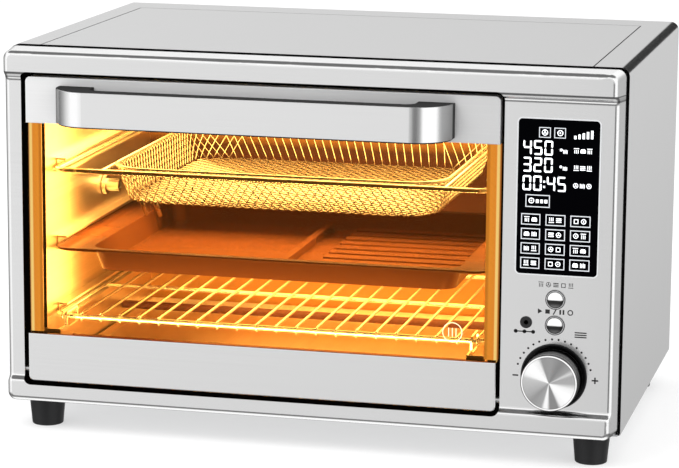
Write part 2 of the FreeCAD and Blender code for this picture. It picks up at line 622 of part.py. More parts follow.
def hinges():
    """Pins on the door's ends turn in brackets on the mouth flange, each with a torsion spring."""
    pins, brackets, springs = [], [], []
    axis_at = (HINGE_Y, HINGE_Z)
    stub_r = 1.8
    for edge, sign in ((DOOR_X[0], -1), (DOOR_X[1], 1)):
        inner = edge - sign * SHEET
        block = box(sorted((inner, inner - sign * 10)), (DOOR_Y[0] + SHEET, DOOR_Y[1] - 1),
                    (DOOR_Z[0] + SHEET, DOOR_Z[0] + 16))
        pin = rod("x", axis_at, PIN_R, sorted((inner - sign * 5, edge + sign * 6.9)))
        stub = rod("x", axis_at, stub_r, sorted((edge, edge + sign * 11)))
        pins.append(fuse([block, pin, stub]))
        plate_x = sorted((edge + sign * 4.2, edge + sign * 6.8))
        plate_z = (14.0, 36.0)
        plate = box(plate_x, (5.8, FLANGE_Y[0]), plate_z)
        foot_x = sorted((edge + sign * 4.2, edge + sign * 12))
        foot = box(foot_x, (FLANGE_Y[0] - 1.5, FLANGE_Y[0]), plate_z)
        brackets.append(plate.fuse(foot).cut(rod("x", axis_at, PIN_R + RUNNING_FIT, grow(plate_x, 1))))
        wire_r, pitch, turns = 0.45, 1.1, 2
        coil_r = stub_r + wire_r + 0.2
        path = Part.makeHelix(pitch, pitch * turns, coil_r)
        profile = Part.Wire(Part.makeCircle(wire_r, V(coil_r, 0, 0), V(0, 1, 0)))
        coil = Part.Wire(path).makePipeShell([profile], True, True)
        coil.rotate(V(0, 0, 0), V(0, 1, 0), 90.0)
        start = edge + 7.4 if sign > 0 else edge - 7.4 - pitch * turns
        springs.append(coil.translated(V(start, *axis_at)))
    save("hinge_pins", *pins)
    save("hinge_brackets", *brackets)
    save("hinge_springs", *springs)


def rack_hooks():
    """Slotted loops on the door that draw the wire rack out as the door comes down."""
    hooks = []
    slot_y, slot_z = (26.6, 50.2), (55.0, 66.2)
    loop_w = 1.6
    root_y = GLASS_Y[1] + SHEET
    arm_z = (slot_z[0] - loop_w, slot_z[0] + 2.4)
    for x in (SHELF_X[0] + 11.5, SHELF_X[1] - 13.0):
        span = (x, x + 1.5)
        loop = box(span, grow(slot_y, loop_w), grow(slot_z, loop_w))
        loop = loop.makeFillet(3.2, edges_where(loop, lambda b: b.XLength > 1))
        slot = box(grow(span, 1), slot_y, slot_z)
        slot = slot.makeFillet(2.0, edges_where(slot, lambda b: b.XLength > 1))
        arm = box(span, (root_y, slot_y[0] + 3), arm_z)
        bridge_x = (DOOR_X[0] + 10, span[0] + 0.1) if x < DOOR_MID else (span[1] - 0.1, DOOR_X[1] - 10)
        bridge = box(bridge_x, (root_y, root_y + SHEET), arm_z)
        hooks.append(fuse([loop.fuse(arm).cut(slot), bridge]))
    save("rack_hooks", *hooks)


# ---------------------------------------------------------------- control panel

def display():
    face = BAND_SET_BACK
    save("display_glass", slab_y(DISPLAY_X, DISPLAY_Z, 3.0, (face - 0.7, face + 1.3)))
    rim = slab_y(grow(DISPLAY_X, 1.0), grow(DISPLAY_Z, 1.0), 4.0, (face - 0.7, face))
    save("display_rim", rim.cut(slab_y(DISPLAY_X, DISPLAY_Z, 3.0, (face - 2, face + 2))))


def buttons():
    """Two domed push buttons in bright rings, each over its own switch."""
    face = BAND_SET_BACK
    rings, switches = [], []
    ring_back = face + 5
    bore_r = BUTTON_R + 0.35
    for name, z in BUTTON_Z.items():
        at = (PANEL_X, z)
        ring = rod("y", at, BUTTON_RING_R, (face - 0.8, face)).fuse(rod("y", at, 6.9, (face, ring_back)))
        rings.append(ring.cut(rod("y", at, bore_r, (0.0, ring_back + 1))))
        cap = rod("y", at, BUTTON_R, (face - 2.6, ring_back + 2))
        cap = cap.makeFillet(2.0, edges_where(cap, lambda b: b.YMax < face - 2.5))
        collar = rod("y", at, bore_r + 0.7, (ring_back + 0.3, ring_back + 1.3))
        stem_end = BOARD_Y - 4.25 - BUTTON_TRAVEL - 0.2
        save(name, fuse([cap, collar, rod("y", at, 2.0, (ring_back + 1, stem_end))]))
        body = box((PANEL_X - 3, PANEL_X + 3), (BOARD_Y - 4, BOARD_Y), (z - 3, z + 3))
        switches.append(body.fuse(rod("y", at, 1.7, (BOARD_Y - 4.25, BOARD_Y - 3.9))))
    save("button_rings", *rings)
    save("button_switches", *switches)


def boards():
    """The control board with its display module, and the power board in the bay behind."""
    plate = box((159.0, 225.0), (BOARD_Y, BOARD_Y + 1.6), (76.0, 246.0))
    module = box((168.0, 216.0), (8.0, BOARD_Y), (132.0, 234.0))
    save("control_board", plate.fuse(module).removeSplitter())
    back_x = 227.0
    pieces = [box((back_x, back_x + 1.6), (60.0, 200.0), (60.0, 200.0))]
    for y0 in (70.0, 100.0, 130.0):
        pieces.append(box((back_x - 16, back_x), (y0, y0 + 20), (165.0, 180.0)))
    pieces.append(box((back_x - 20, back_x), (80.0, 110.0), (75.0, 110.0)))
    for y in (140.0, 165.0):
        pieces.append(rod("x", (y, 90.0), 6.0, (back_x - 18, back_x)))
    save("power_board", fuse(pieces))


def probe_jack():
    """Socket for a 3.5 mm plug of a temperature probe."""
    face = BAND_SET_BACK
    body = rod("y", JACK, JACK_R, (face - 0.6, face + 13))
    lip = rod("y", JACK, JACK_R + 1.0, (face + BEZEL_SHEET, face + BEZEL_SHEET + 2))
    save("probe_jack", body.fuse(lip).cut(rod("y", JACK, 1.8, (face - 2, face + 12))))


def dial():
    """Two-part knob on an encoder shaft, standing in a dark round recess."""
    at = (PANEL_X, KNOB_Z)
    face = BAND_SET_BACK
    cup = rod("y", at, RECESS_R, (face - 0.6, face + 9)).cut(rod("y", at, RECESS_R - 1, (0.0, face + 7)))
    bush_r, shaft_r = 4.5, 3.0
    save("knob_recess", cup.cut(rod("y", at, bush_r, (face, face + 10))))
    body_y = face + 10
    encoder = box((PANEL_X - 7, PANEL_X + 7), (body_y, body_y + 7), (KNOB_Z - 7, KNOB_Z + 7))
    encoder = encoder.fuse(rod("y", at, bush_r, (face + 4, body_y)))
    encoder = encoder.cut(rod("y", at, shaft_r + RUNNING_FIT, (0.0, body_y + 4)))
    save("encoder_body", encoder.removeSplitter())
    save("encoder_shaft", rod("y", at, shaft_r, (-12.0, body_y + 3)))
    cap_y = (-18.0, -6.0)
    cap = rod("y", at, KNOB_R, cap_y)
    cap = cap.makeChamfer(0.8, edges_where(cap, lambda b: b.YMax < cap_y[0] + 0.1))
    groove = tube("y", at, KNOB_R + 1, KNOB_R - 0.7, (-12.5, -11.5))
    bore = rod("y", at, shaft_r, (-12.0, face))
    save("knob_cap", cap.cut([groove, bore]))
    skirt = rod("y", at, KNOB_R - 0.6, (cap_y[1], face - 1.4))
    skirt = skirt.fuse(rod("y", at, KNOB_R + 1, (-2.5, face - 1.4)))
    save("knob_skirt", skirt.cut(bore).removeSplitter())


front_bezel()
outer_cover()
back_panel()
base_plate()
feet()
rear_outlets()
cavity_box()
shelf_rails()
heaters()
crumb_tray()
oven_lamp()
convection()
rotisserie_drive()
wire_rack()
baking_tray()
basket()
door()
handle()
hinges()
rack_hooks()
display()
buttons()
boards()
probe_jack()
dial()
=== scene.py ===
"""Looks for a countertop toaster oven: materials, wire mesh, printed marks, stage, lights and camera.

Everything is in metres in the frame's own axes: X to the oven's right, -Y to its front, Z up.
"""
import math

import bpy
from mathutils import Matrix, Vector


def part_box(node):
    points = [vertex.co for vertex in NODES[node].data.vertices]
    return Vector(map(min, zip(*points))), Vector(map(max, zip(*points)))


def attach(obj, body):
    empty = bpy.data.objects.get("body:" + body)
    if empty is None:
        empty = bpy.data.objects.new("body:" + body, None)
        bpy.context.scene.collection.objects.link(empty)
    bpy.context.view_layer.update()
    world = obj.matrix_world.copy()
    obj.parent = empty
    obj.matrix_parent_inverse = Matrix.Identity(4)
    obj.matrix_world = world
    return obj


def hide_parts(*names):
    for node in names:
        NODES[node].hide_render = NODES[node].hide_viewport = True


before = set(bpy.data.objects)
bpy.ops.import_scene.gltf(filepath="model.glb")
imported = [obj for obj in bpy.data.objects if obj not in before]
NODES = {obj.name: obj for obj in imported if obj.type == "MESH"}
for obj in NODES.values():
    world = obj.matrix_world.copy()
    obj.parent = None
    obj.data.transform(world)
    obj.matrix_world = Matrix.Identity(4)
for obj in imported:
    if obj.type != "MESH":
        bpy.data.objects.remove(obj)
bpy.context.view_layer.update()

MM = 0.001


# ---------------------------------------------------------------- places taken from the frame

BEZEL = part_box("front_bezel")
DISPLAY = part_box("display_glass")
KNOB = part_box("knob_cap")
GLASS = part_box("door_glass")
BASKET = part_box("mesh_basket")
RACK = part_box("wire_rack")
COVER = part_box("outer_cover")
PANEL_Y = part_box("display_rim")[1].y


def middle(box):
    return (box[0] + box[1]) / 2


# ---------------------------------------------------------------- materials

# streak scales on each axis, for brushing along X and along Y
ALONG_X = (6.0, 900.0, 900.0)
ALONG_Y = (900.0, 6.0, 900.0)


def new_material(name):
    """A new node material; returns (material, nodes, links, shader)."""
    mat = bpy.data.materials.new(name)
    mat.use_nodes = True
    tree = mat.node_tree
    shader = tree.nodes["Principled BSDF"]
    return mat, tree.nodes, tree.links, shader


def set_inputs(node, **values):
    """Set a node's inputs by name, with underscores for the spaces."""
    for key, value in values.items():
        node.inputs[key.replace("_", " ")].default_value = value


def math_node(nodes, links, operation, first, second=None):
    """A math node; each input is a number or another node's output."""
    node = nodes.new("ShaderNodeMath")
    node.operation = operation
    for slot, value in enumerate((first, second)):
        if isinstance(value, (int, float)):
            node.inputs[slot].default_value = value
        elif value is not None:
            links.new(value, node.inputs[slot])
    return node.outputs["Value"]


def colour_ramp(nodes, links, fac, stops):
    """Map a value to a colour by (place, colour) stops."""
    ramp = nodes.new("ShaderNodeValToRGB")
    elements = ramp.color_ramp.elements
    while len(elements) < len(stops):
        elements.new(0.5)
    for element, (place, colour) in zip(elements, stops):
        element.position = place
        element.color = (*colour, 1)
    links.new(fac, ramp.inputs["Fac"])
    return ramp.outputs["Color"]


def grey_ramp(nodes, links, fac, stops):
    """Map a value to a grey by (place, tone) stops."""
    return colour_ramp(nodes, links, fac, [(place, (tone, tone, tone)) for place, tone in stops])


def mix_colours(nodes, links, blend, factor, first, second):
    """A colour mix; factor is a number or an output, and each colour an output or four numbers."""
    mix = nodes.new("ShaderNodeMix")
    mix.data_type = "RGBA"
    mix.blend_type = blend
    for slot, value in ((0, factor), (6, first), (7, second)):
        if isinstance(value, (float, tuple)):
            mix.inputs[slot].default_value = value
        else:
            links.new(value, mix.inputs[slot])
    return mix.outputs[2]


def along_axis(nodes, links, axis, low, high):
    """An object coordinate as 0..1 between two places."""
    coords = nodes.new("ShaderNodeTexCoord")
    split = nodes.new("ShaderNodeSeparateXYZ")
    links.new(coords.outputs["Object"], split.inputs["Vector"])
    scaled = nodes.new("ShaderNodeMapRange")
    set_inputs(scaled, From_Min=low, From_Max=high)
    links.new(split.outputs[axis], scaled.inputs["Value"])
    return scaled.outputs["Result"]


def part_of_turn(nodes, links, first, second):
    """The angle whose tangent is first over second, as 0..1 from -180 to 180 degrees."""
    turn = math_node(nodes, links, "ARCTAN2", first, second)
    return math_node(nodes, links, "DIVIDE", math_node(nodes, links, "ADD", turn, math.pi), 2 * math.pi)


def by_degrees(stops):
    """Ramp stops placed from -180 to 180 degrees, as 0..1."""
    return [((degrees + 180) / 360, tone) for degrees, tone in stops]


def streak_noise(nodes, links, scale, detail=3.0):
    """Noise on object coordinates, stretched by a scale for each axis."""
    coords = nodes.new("ShaderNodeTexCoord")
    mapping = nodes.new("ShaderNodeMapping")
    set_inputs(mapping, Scale=scale)
    noise = nodes.new("ShaderNodeTexNoise")
    set_inputs(noise, Scale=1.0, Detail=detail, Roughness=0.6)
    links.new(coords.outputs["Object"], mapping.inputs["Vector"])
    links.new(mapping.outputs["Vector"], noise.inputs["Vector"])
    return noise.outputs["Fac"]


def spread(nodes, links, fac, low, high):
    """Map a 0..1 value to a range."""
    node = nodes.new("ShaderNodeMapRange")
    set_inputs(node, To_Min=low, To_Max=high)
    links.new(fac, node.inputs["Value"])
    return node.outputs["Result"]


def tint(nodes, links, fac, dark, light):
    """Blend two colours by a value."""
    return colour_ramp(nodes, links, fac, ((0.3, dark), (0.7, light)))


def bump(nodes, links, shader, height, strength, distance):
    node = nodes.new("ShaderNodeBump")
    set_inputs(node, Strength=strength, Distance=distance)
    links.new(height, node.inputs["Height"])
    links.new(node.outputs["Normal"], shader.inputs["Normal"])


def grey(value, warm=0.0):
    return (value * (1 + warm), value, value * (1 - warm))


def brushed(name, stretch, value, rough, contrast=0.05, grain=0.03, warm=0.0, metallic=1.0):
    """Brushed metal; stretch gives the streak scale on each axis, small along the brushing."""
    mat, nodes, links, shader = new_material(name)
    set_inputs(shader, Metallic=metallic)
    fac = streak_noise(nodes, links, stretch)
    colour = tint(nodes, links, fac, grey(value * (1 - contrast), warm), grey(value * (1 + contrast), warm))
    links.new(colour, shader.inputs["Base Color"])
    links.new(spread(nodes, links, fac, rough * 0.85, rough * 1.15), shader.inputs["Roughness"])
    bump(nodes, links, shader, fac, grain, 0.0002)
    return mat


def moulded(name, colour, rough, grain_scale=900.0, grain=0.05, variation=0.15):
    """Moulded plastic or rubber with a fine grain."""
    mat, nodes, links, shader = new_material(name)
    fac = streak_noise(nodes, links, (grain_scale,) * 3, detail=2.0)
    dark = tuple(c * (1 - variation) for c in colour)
    light = tuple(c * (1 + variation) for c in colour)
    links.new(tint(nodes, links, fac, dark, light), shader.inputs["Base Color"])
    links.new(spread(nodes, links, fac, rough * 0.9, rough * 1.1), shader.inputs["Roughness"])
    bump(nodes, links, shader, fac, grain, 0.0003)
    return mat


def plated(name, colour, rough, metallic=1.0):
    """Bright plated wire or trim, with faint clouding in its roughness."""
    mat, nodes, links, shader = new_material(name)
    set_inputs(shader, Base_Color=(*colour, 1), Metallic=metallic)
    fac = streak_noise(nodes, links, (60.0,) * 3)
    links.new(spread(nodes, links, fac, rough * 0.6, rough * 1.4), shader.inputs["Roughness"])
    return mat


def clear_glass(name, tone, alpha):
    mat, _, _, shader = new_material(name)
    set_inputs(shader, Base_Color=(*tone, 1), Roughness=0.02, Alpha=alpha, IOR=1.5, Specular_IOR_Level=0.5)
    return mat


def door_pane():
    """Clear warm pane that is darker to the white room's light on its way in."""
    mat, nodes, links, shader = new_material("door_glass")
    set_inputs(shader, Base_Color=(0.30, 0.13, 0.02, 1), Roughness=0.02, Alpha=0.06, IOR=1.5,
               Specular_IOR_Level=0.25)
    inward = nodes.new("ShaderNodeBsdfTransparent")
    set_inputs(inward, Color=(0.34, 0.20, 0.08, 1))
    path = nodes.new("ShaderNodeLightPath")
    mix = nodes.new("ShaderNodeMixShader")
    links.new(path.outputs["Is Camera Ray"], mix.inputs["Fac"])
    links.new(inward.outputs["BSDF"], mix.inputs[1])
    links.new(shader.outputs["BSDF"], mix.inputs[2])
    links.new(mix.outputs["Shader"], nodes["Material Output"].inputs["Surface"])
    return mat


def matte_black(name, tone):
    """Black that throws nothing back."""
    mat, _, _, shader = new_material(name)
    set_inputs(shader, Base_Color=(tone, tone, tone, 1), Roughness=0.9, Specular_IOR_Level=0.0)
    return mat


def shade_over(mat, colour):
    """Multiply a material's linked base colour by another colour."""
    nodes, links = mat.node_tree.nodes, mat.node_tree.links
    base = nodes["Principled BSDF"].inputs["Base Color"]
    links.new(mix_colours(nodes, links, "MULTIPLY", 1.0, base.links[0].from_socket, colour), base)


# (place from the band's front to its back, tone) of the painted reflections and painted black shade at the
# back edge, for its left end and its right end; then the roughness
HANDLE_END_REFLECTIONS = (
    ((0.0, 1.0), (0.12, 1.0), (0.30, 0.62), (0.46, 0.34), (0.50, 0.03), (1.0, 0.03)),
    ((0.0, 1.0), (0.26, 1.0), (0.36, 0.66), (0.74, 0.42), (0.78, 0.03), (1.0, 0.03)),
)
HANDLE_ROUGHNESS = ((0.0, 0.16), (0.24, 0.18), (0.40, 0.55), (1.0, 0.6))


def handle_steel(box):
    """Brushed band whose ends carry painted reflections from white through grey to a painted black shade at
    the back edge, and grow duller.
    """
    mat = brushed("handle_steel", ALONG_X, 0.93, 0.16, contrast=0.01, grain=0.008)
    nodes, links = mat.node_tree.nodes, mat.node_tree.links
    back = along_axis(nodes, links, "Y", box[0].y, box[1].y)
    # painted reflections and shade for each end of the band
    ends = [grey_ramp(nodes, links, back, stops) for stops in HANDLE_END_REFLECTIONS]
    side = math_node(nodes, links, "GREATER_THAN", along_axis(nodes, links, "X", box[0].x, box[1].x), 0.5)
    shade_over(mat, mix_colours(nodes, links, "MIX", side, *ends))
    dull = grey_ramp(nodes, links, back, HANDLE_ROUGHNESS)
    links.new(dull, nodes["Principled BSDF"].inputs["Roughness"])
    return mat


def paint_shading_along(mat, axis, low, high, stops):
    """Paint shading onto a brushed material along one axis, from low to high, by (place, tone) stops."""
    nodes, links = mat.node_tree.nodes, mat.node_tree.links
    shade_over(mat, grey_ramp(nodes, links, along_axis(nodes, links, axis, low, high), stops))
    return mat


# (place, tone) of painted light: painted reflection lines up the 10 mm below the upper bar, painted shade and
# light up the cover, and painted shade along the upper rail from its left
PAINTED_STEP_REFLECTIONS = ((0.0, 1.0), (0.36, 1.0), (0.42, 0.30), (0.50, 0.28), (0.56, 0.60), (0.76, 0.70), (0.80, 0.30),
              (0.86, 0.30), (0.90, 1.0))
COVER_PAINTED_SHADE = ((0.0, 0.80), (0.5, 0.98), (0.9, 1.10), (0.985, 1.10), (0.99, 1.0))
RAIL_PAINTED_SHADE = ((0.0, 1.0), (0.6, 0.98), (0.9, 0.80), (1.0, 0.76))


def front_steel():
    """Brushed bezel and lower door rail, with the grey and dark lines that the upper step mirrors painted in
    as reflections.
    """
    plain = brushed("front_steel", ALONG_X, 0.90, 0.17, contrast=0.015, grain=0.01)
    top = BEZEL[1].z
    return paint_shading_along(plain, "Z", top - 27 * MM, top - 17 * MM, PAINTED_STEP_REFLECTIONS)


def cover_steel():
    """Cover with painted shade and light: its sides darken towards the bottom and brighten near the top."""
    plain = brushed("cover_steel", (5.0, 500.0, 700.0), 0.88, 0.14, contrast=0.015, grain=0.01)
    return paint_shading_along(plain, "Z", COVER[0].z, COVER[1].z, COVER_PAINTED_SHADE)


def door_rail_steel(box):
    """Upper door rail, duller than the bezel, with painted shade that darkens it towards its right end."""
    plain = brushed("door_rail_steel", ALONG_X, 0.76, 0.34, contrast=0.015, grain=0.01, metallic=0.35)
    return paint_shading_along(plain, "X", box[0].x, box[1].x, RAIL_PAINTED_SHADE)


def knob_skirt(box):
    """Bright skirt with painted shade: its back half is painted dark, where it runs into its recess."""
    mat, nodes, links, shader = new_material("knob_skirt")
    set_inputs(shader, Metallic=1.0, Roughness=0.2)
    back = along_axis(nodes, links, "Y", box[0].y, box[1].y)
    # painted shade over the back of the skirt
    skirt_painted_shade = grey_ramp(nodes, links, back, ((0.0, 0.85), (0.30, 0.85), (0.36, 0.01), (1.0, 0.01)))
    links.new(skirt_painted_shade, shader.inputs["Base Color"])
    return mat


# (height up the back wall, colour) of painted light: painted orange glow low and high, painted shade in the
# band behind the shelves
BACK_PAINTED_SHADE_AND_GLOW = ((0.0, (0.50, 0.24, 0.07)), (0.30, (0.40, 0.16, 0.04)), (0.42, (0.06, 0.010, 0.005)),
              (0.66, (0.05, 0.008, 0.004)), (0.78, (0.75, 0.36, 0.08)), (1.0, (0.90, 0.50, 0.12)))


def cavity_back(box):
    """Back wall with painted shade in a dark band behind the shelves, between painted orange glow below and
    above.
    """
    mat, nodes, links, shader = new_material("cavity_back_steel")
    set_inputs(shader, Metallic=0.2, Roughness=0.5)
    up = along_axis(nodes, links, "Z", box[0].z, box[1].z)
    links.new(colour_ramp(nodes, links, up, BACK_PAINTED_SHADE_AND_GLOW), shader.inputs["Base Color"])
    return mat


# (place from the tray's front to its back, colour) of painted shade and light
TRAY_PAINTED_SHADE = ((0.0, (0.12, 0.032, 0.013)), (0.08, (0.19, 0.060, 0.026)), (0.30, (0.25, 0.082, 0.030)),
             (0.60, (0.20, 0.060, 0.022)), (0.80, (0.020, 0.003, 0.002)), (1.0, (0.010, 0.001, 0.001)))


def tray_coating(box):
    """Smooth red-brown coating with painted shade and light: darker towards the back and on the front rim,
    lighter a third of the way back.
    """
    mat = moulded("tray_coating", (0.9, 0.9, 0.9), 0.2, grain_scale=700.0, grain=0.004, variation=0.04)
    nodes, links = mat.node_tree.nodes, mat.node_tree.links
    set_inputs(nodes["Principled BSDF"], Specular_IOR_Level=0.12, Specular_Tint=(1.0, 0.30, 0.12, 1))
    back = along_axis(nodes, links, "Y", box[0].y, box[1].y)
    shade_over(mat, colour_ramp(nodes, links, back, TRAY_PAINTED_SHADE))
    return mat


# (height across a button, tone) of the painted reflection
BUTTON_PAINTED_REFLECTION = ((0.0, 0.10), (0.14, 0.16), (0.24, 0.06), (0.34, 0.015), (0.48, 0.02), (0.52, 0.75),
                (0.80, 0.95), (1.0, 0.60))


def push_button(name, box):
    """Polished button face with a painted reflection: a bright room above its middle and a dark one below."""
    mat, nodes, links, shader = new_material(name)
    set_inputs(shader, Roughness=0.3, Specular_IOR_Level=0.2)
    up = along_axis(nodes, links, "Z", box[0].z, box[1].z)
    links.new(grey_ramp(nodes, links, up, BUTTON_PAINTED_REFLECTION), shader.inputs["Base Color"])
    return mat


TRIM_WIDTH = 9 * MM
# (place across a trim from its outer edge, colour) of the painted, glowing reflection
TRIM_PAINTED_REFLECTION = ((0.0, (0.35, 0.10, 0.01)), (0.12, (1.0, 0.70, 0.22)), (0.26, (1.0, 0.70, 0.22)),
              (0.36, (0.80, 0.27, 0.03)), (0.80, (0.85, 0.30, 0.03)), (0.95, (0.60, 0.20, 0.02)))


def trim_painted_glow(box):
    """Polished trim beside the glass, with a painted reflection of the glowing cavity, given as bands of
    emitted light.
    """
    mat, nodes, links, shader = new_material("trim_painted_glow")
    set_inputs(shader, Base_Color=(0.25, 0.12, 0.05, 1), Metallic=0.6, Roughness=0.3, Emission_Strength=0.9)
    from_left = along_axis(nodes, links, "X", box[0].x, box[0].x + TRIM_WIDTH)
    from_right = along_axis(nodes, links, "X", box[1].x, box[1].x - TRIM_WIDTH)
    across = math_node(nodes, links, "MINIMUM", from_left, from_right)
    links.new(colour_ramp(nodes, links, across, TRIM_PAINTED_REFLECTION), shader.inputs["Emission Color"])
    return mat


def glow(name, colour, strength):
    """Lit marks, and the glass's printed mark given a painted glow, whose brightness doesn't depend on the
    room.
    """
    mat, _, _, shader = new_material(name)
    set_inputs(shader, Base_Color=(*colour, 1), Emission_Color=(*colour, 1), Emission_Strength=strength,
               Roughness=0.6)
    return mat


# (degrees round the dial from its right, tone) of the painted reflection fans; (part of the radius, tone) of
# a painted dark ring line and the painted black shade at the edge; where the rim starts
DIAL_REFLECTION_FANS = (
    (-180, 0.55), (-150, 0.45), (-132, 0.32), (-106, 0.40), (-100, 1.0), (-93, 1.0), (-86, 0.26), (-68, 0.26),
    (-60, 0.95), (-35, 1.1), (-12, 0.95), (2, 0.45), (20, 0.42), (28, 0.70), (36, 0.36), (60, 0.24),
    (85, 0.34), (108, 0.32), (117, 0.90), (138, 1.1), (160, 1.0), (170, 0.60), (180, 0.55),
)
DIAL_EDGE_SHADE = ((0.0, 1.0), (0.90, 1.0), (0.915, 0.35), (0.93, 1.0), (0.965, 1.0), (0.975, 0.04))
DIAL_RIM = 0.922


def radial_brushed(name, value, rough):
    """Turned metal: rings round the axis, with painted reflections as bright and dark fans that run out from
    the middle, and painted shade at the edge.
    """
    mat, nodes, links, shader = new_material(name)
    set_inputs(shader, Metallic=0.3)
    coords = nodes.new("ShaderNodeTexCoord")
    shift = nodes.new("ShaderNodeMapping")
    set_inputs(shift, Location=-middle(KNOB))
    wave = nodes.new("ShaderNodeTexWave")
    wave.wave_type = "RINGS"
    wave.rings_direction = "Y"
    set_inputs(wave, Scale=700.0, Distortion=1.5, Detail=2.0)
    links.new(coords.outputs["Object"], shift.inputs["Vector"])
    links.new(shift.outputs["Vector"], wave.inputs["Vector"])
    split = nodes.new("ShaderNodeSeparateXYZ")
    links.new(shift.outputs["Vector"], split.inputs["Vector"])
    turn = part_of_turn(nodes, links, split.outputs["Z"], split.outputs["X"])
    fans = grey_ramp(nodes, links, turn, by_degrees((degrees, tone * value) for degrees, tone in DIAL_REFLECTION_FANS))
    flat = math_node(nodes, links, "POWER", split.outputs["X"], 2.0)
    tall = math_node(nodes, links, "POWER", split.outputs["Z"], 2.0)
    reach = math_node(nodes, links, "SQRT", math_node(nodes, links, "ADD", flat, tall))
    reach = math_node(nodes, links, "DIVIDE", reach, (KNOB[1].x - KNOB[0].x) / 2)
    edge = grey_ramp(nodes, links, reach, DIAL_EDGE_SHADE)
    on_rim = math_node(nodes, links, "GREATER_THAN", reach, DIAL_RIM)
    bright = mix_colours(nodes, links, "MIX", on_rim, fans, (0.95, 0.95, 0.95, 1))
    face = mix_colours(nodes, links, "MULTIPLY", 1.0, bright, edge)
    links.new(face, shader.inputs["Base Color"])
    links.new(spread(nodes, links, wave.outputs["Fac"], rough * 0.8, rough * 1.2), shader.inputs["Roughness"])
    bump(nodes, links, shader, wave.outputs["Fac"], 0.05, 0.0001)
    return mat


def gloss_black():
    """Near-black glossy cover over the display."""
    mat, nodes, links, shader = new_material("display_black")
    set_inputs(shader, Base_Color=(0.001, 0.001, 0.0015, 1), Specular_IOR_Level=0.0)
    fac = streak_noise(nodes, links, (80.0,) * 3)
    links.new(spread(nodes, links, fac, 0.04, 0.08), shader.inputs["Roughness"])
    return mat


def make_materials():
    return {
        "front": front_steel(),
        "cover": cover_steel(),
        "handle": handle_steel(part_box("handle_band")),
        "rail": door_rail_steel(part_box("door_top_rail")),
        "wire": plated("plated_wire", (0.80, 0.76, 0.66), 0.22, metallic=0.75),
        "mesh": plated("basket_wire", (0.56, 0.50, 0.42), 0.25, metallic=0.75),
        # warm tints the cavity steel amber, a painted stand-in for the heaters' orange light
        "cavity": brushed("cavity_steel", ALONG_Y, 0.74, 0.34, contrast=0.06, warm=0.14),
        "zinc": moulded("zinc_steel", (0.42, 0.43, 0.44), 0.45, grain_scale=120.0, grain=0.02),
        "bare": brushed("bare_steel", ALONG_X, 0.55, 0.3),
        "black": moulded("black_plastic", (0.010, 0.010, 0.011), 0.36),
        "core": matte_black("handle_core_plastic", 0.035),
        "display": gloss_black(),
        "rim": moulded("display_rim_silver", (0.62, 0.63, 0.64), 0.3, grain=0.01, variation=0.03),
        "glass": door_pane(),
        "shadow": matte_black("shadow_line", 0.002),
        "ink": matte_black("panel_ink", 0.03),
        "lit": glow("display_glow", (0.95, 0.97, 1.0), 0.9),
        "glass_print_painted_glow": glow("glass_print_painted_glow", (1.0, 0.85, 0.55), 0.7),
        "key_line": glow("key_outline", (0.55, 0.57, 0.6), 0.35),
        "trim": trim_painted_glow(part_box("door_side_trims")),
        "lamp": clear_glass("lamp_glass", (0.9, 0.8, 0.6), 0.4),
        "sheath": moulded("heater_sheath", (0.10, 0.02, 0.012), 0.55, grain_scale=300.0),
        "ceramic": moulded("ceramic", (0.78, 0.75, 0.70), 0.5),
        # black rubber for the gasket, and painted shade for the parts seen in the door's gap
        "seal_and_shade": matte_black("seal_rubber", 0.004),
        "board": moulded("circuit_board", (0.01, 0.12, 0.05), 0.4, grain_scale=200.0),
        "tray": tray_coating(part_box("baking_tray")),
        "function_face": push_button("function_button_face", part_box("function_button")),
        "start_face": push_button("start_button_face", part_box("start_button")),
        "ring": plated("button_ring", (0.85, 0.85, 0.86), 0.2),
        "skirt": knob_skirt(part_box("knob_skirt")),
        "inner_back": cavity_back(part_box("cavity_back")),
        "dial": radial_brushed("dial_face", 0.86, 0.24),
    }


NODE_LOOKS = {
    "front": ["front_bezel", "door_bottom_rail"],
    "rail": ["door_top_rail"],
    "cover": ["outer_cover"],
    "handle": ["handle_band"],
    "skirt": ["knob_skirt"],
    "ring": ["button_rings"],
    "function_face": ["function_button"],
    "start_face": ["start_button"],
    "dial": ["knob_cap"],
    "cavity": ["cavity_left_wall", "cavity_right_wall", "cavity_ceiling", "cavity_floor",
               "left_rails", "right_rails", "crumb_tray", "rack_hooks"],
    "trim": ["door_side_trims"],
    "inner_back": ["cavity_back"],
    "zinc": ["base_plate", "back_panel", "fan_housing", "glass_clamps", "rotisserie_motor",
             "fan_motor", "convection_fan"],
    "bare": ["back_screws", "foot_screws", "handle_screws", "hinge_pins", "encoder_shaft", "fan_shaft",
             "rotisserie_hub", "hinge_springs"],
    "black": ["feet", "rear_spacers", "cord_gland", "knob_recess", "probe_jack", "encoder_body",
              "button_switches"],
    "core": ["handle_core"],
    "display": ["display_glass"],
    "rim": ["display_rim"],
    "glass": ["door_glass"],
    "lamp": ["lamp_lens", "lamp_bulb"],
    "sheath": ["lower_heaters", "upper_heaters"],
    "ceramic": ["heater_bushes"],
    # the gasket is black rubber; the cavity flange and hinge brackets are painted black as shade, so the gap
    # round the door reads black
    "seal_and_shade": ["door_gasket", "cavity_flange", "hinge_brackets"],
    "board": ["control_board", "power_board"],
    "wire": ["wire_rack", "basket_frame"],
    "tray": ["baking_tray"],
}


def dress_nodes(looks):
    for look, names in NODE_LOOKS.items():
        for name in names:
            slots = NODES[name].data.materials
            slots.clear()
            slots.append(looks[look])


# ---------------------------------------------------------------- mesh tools

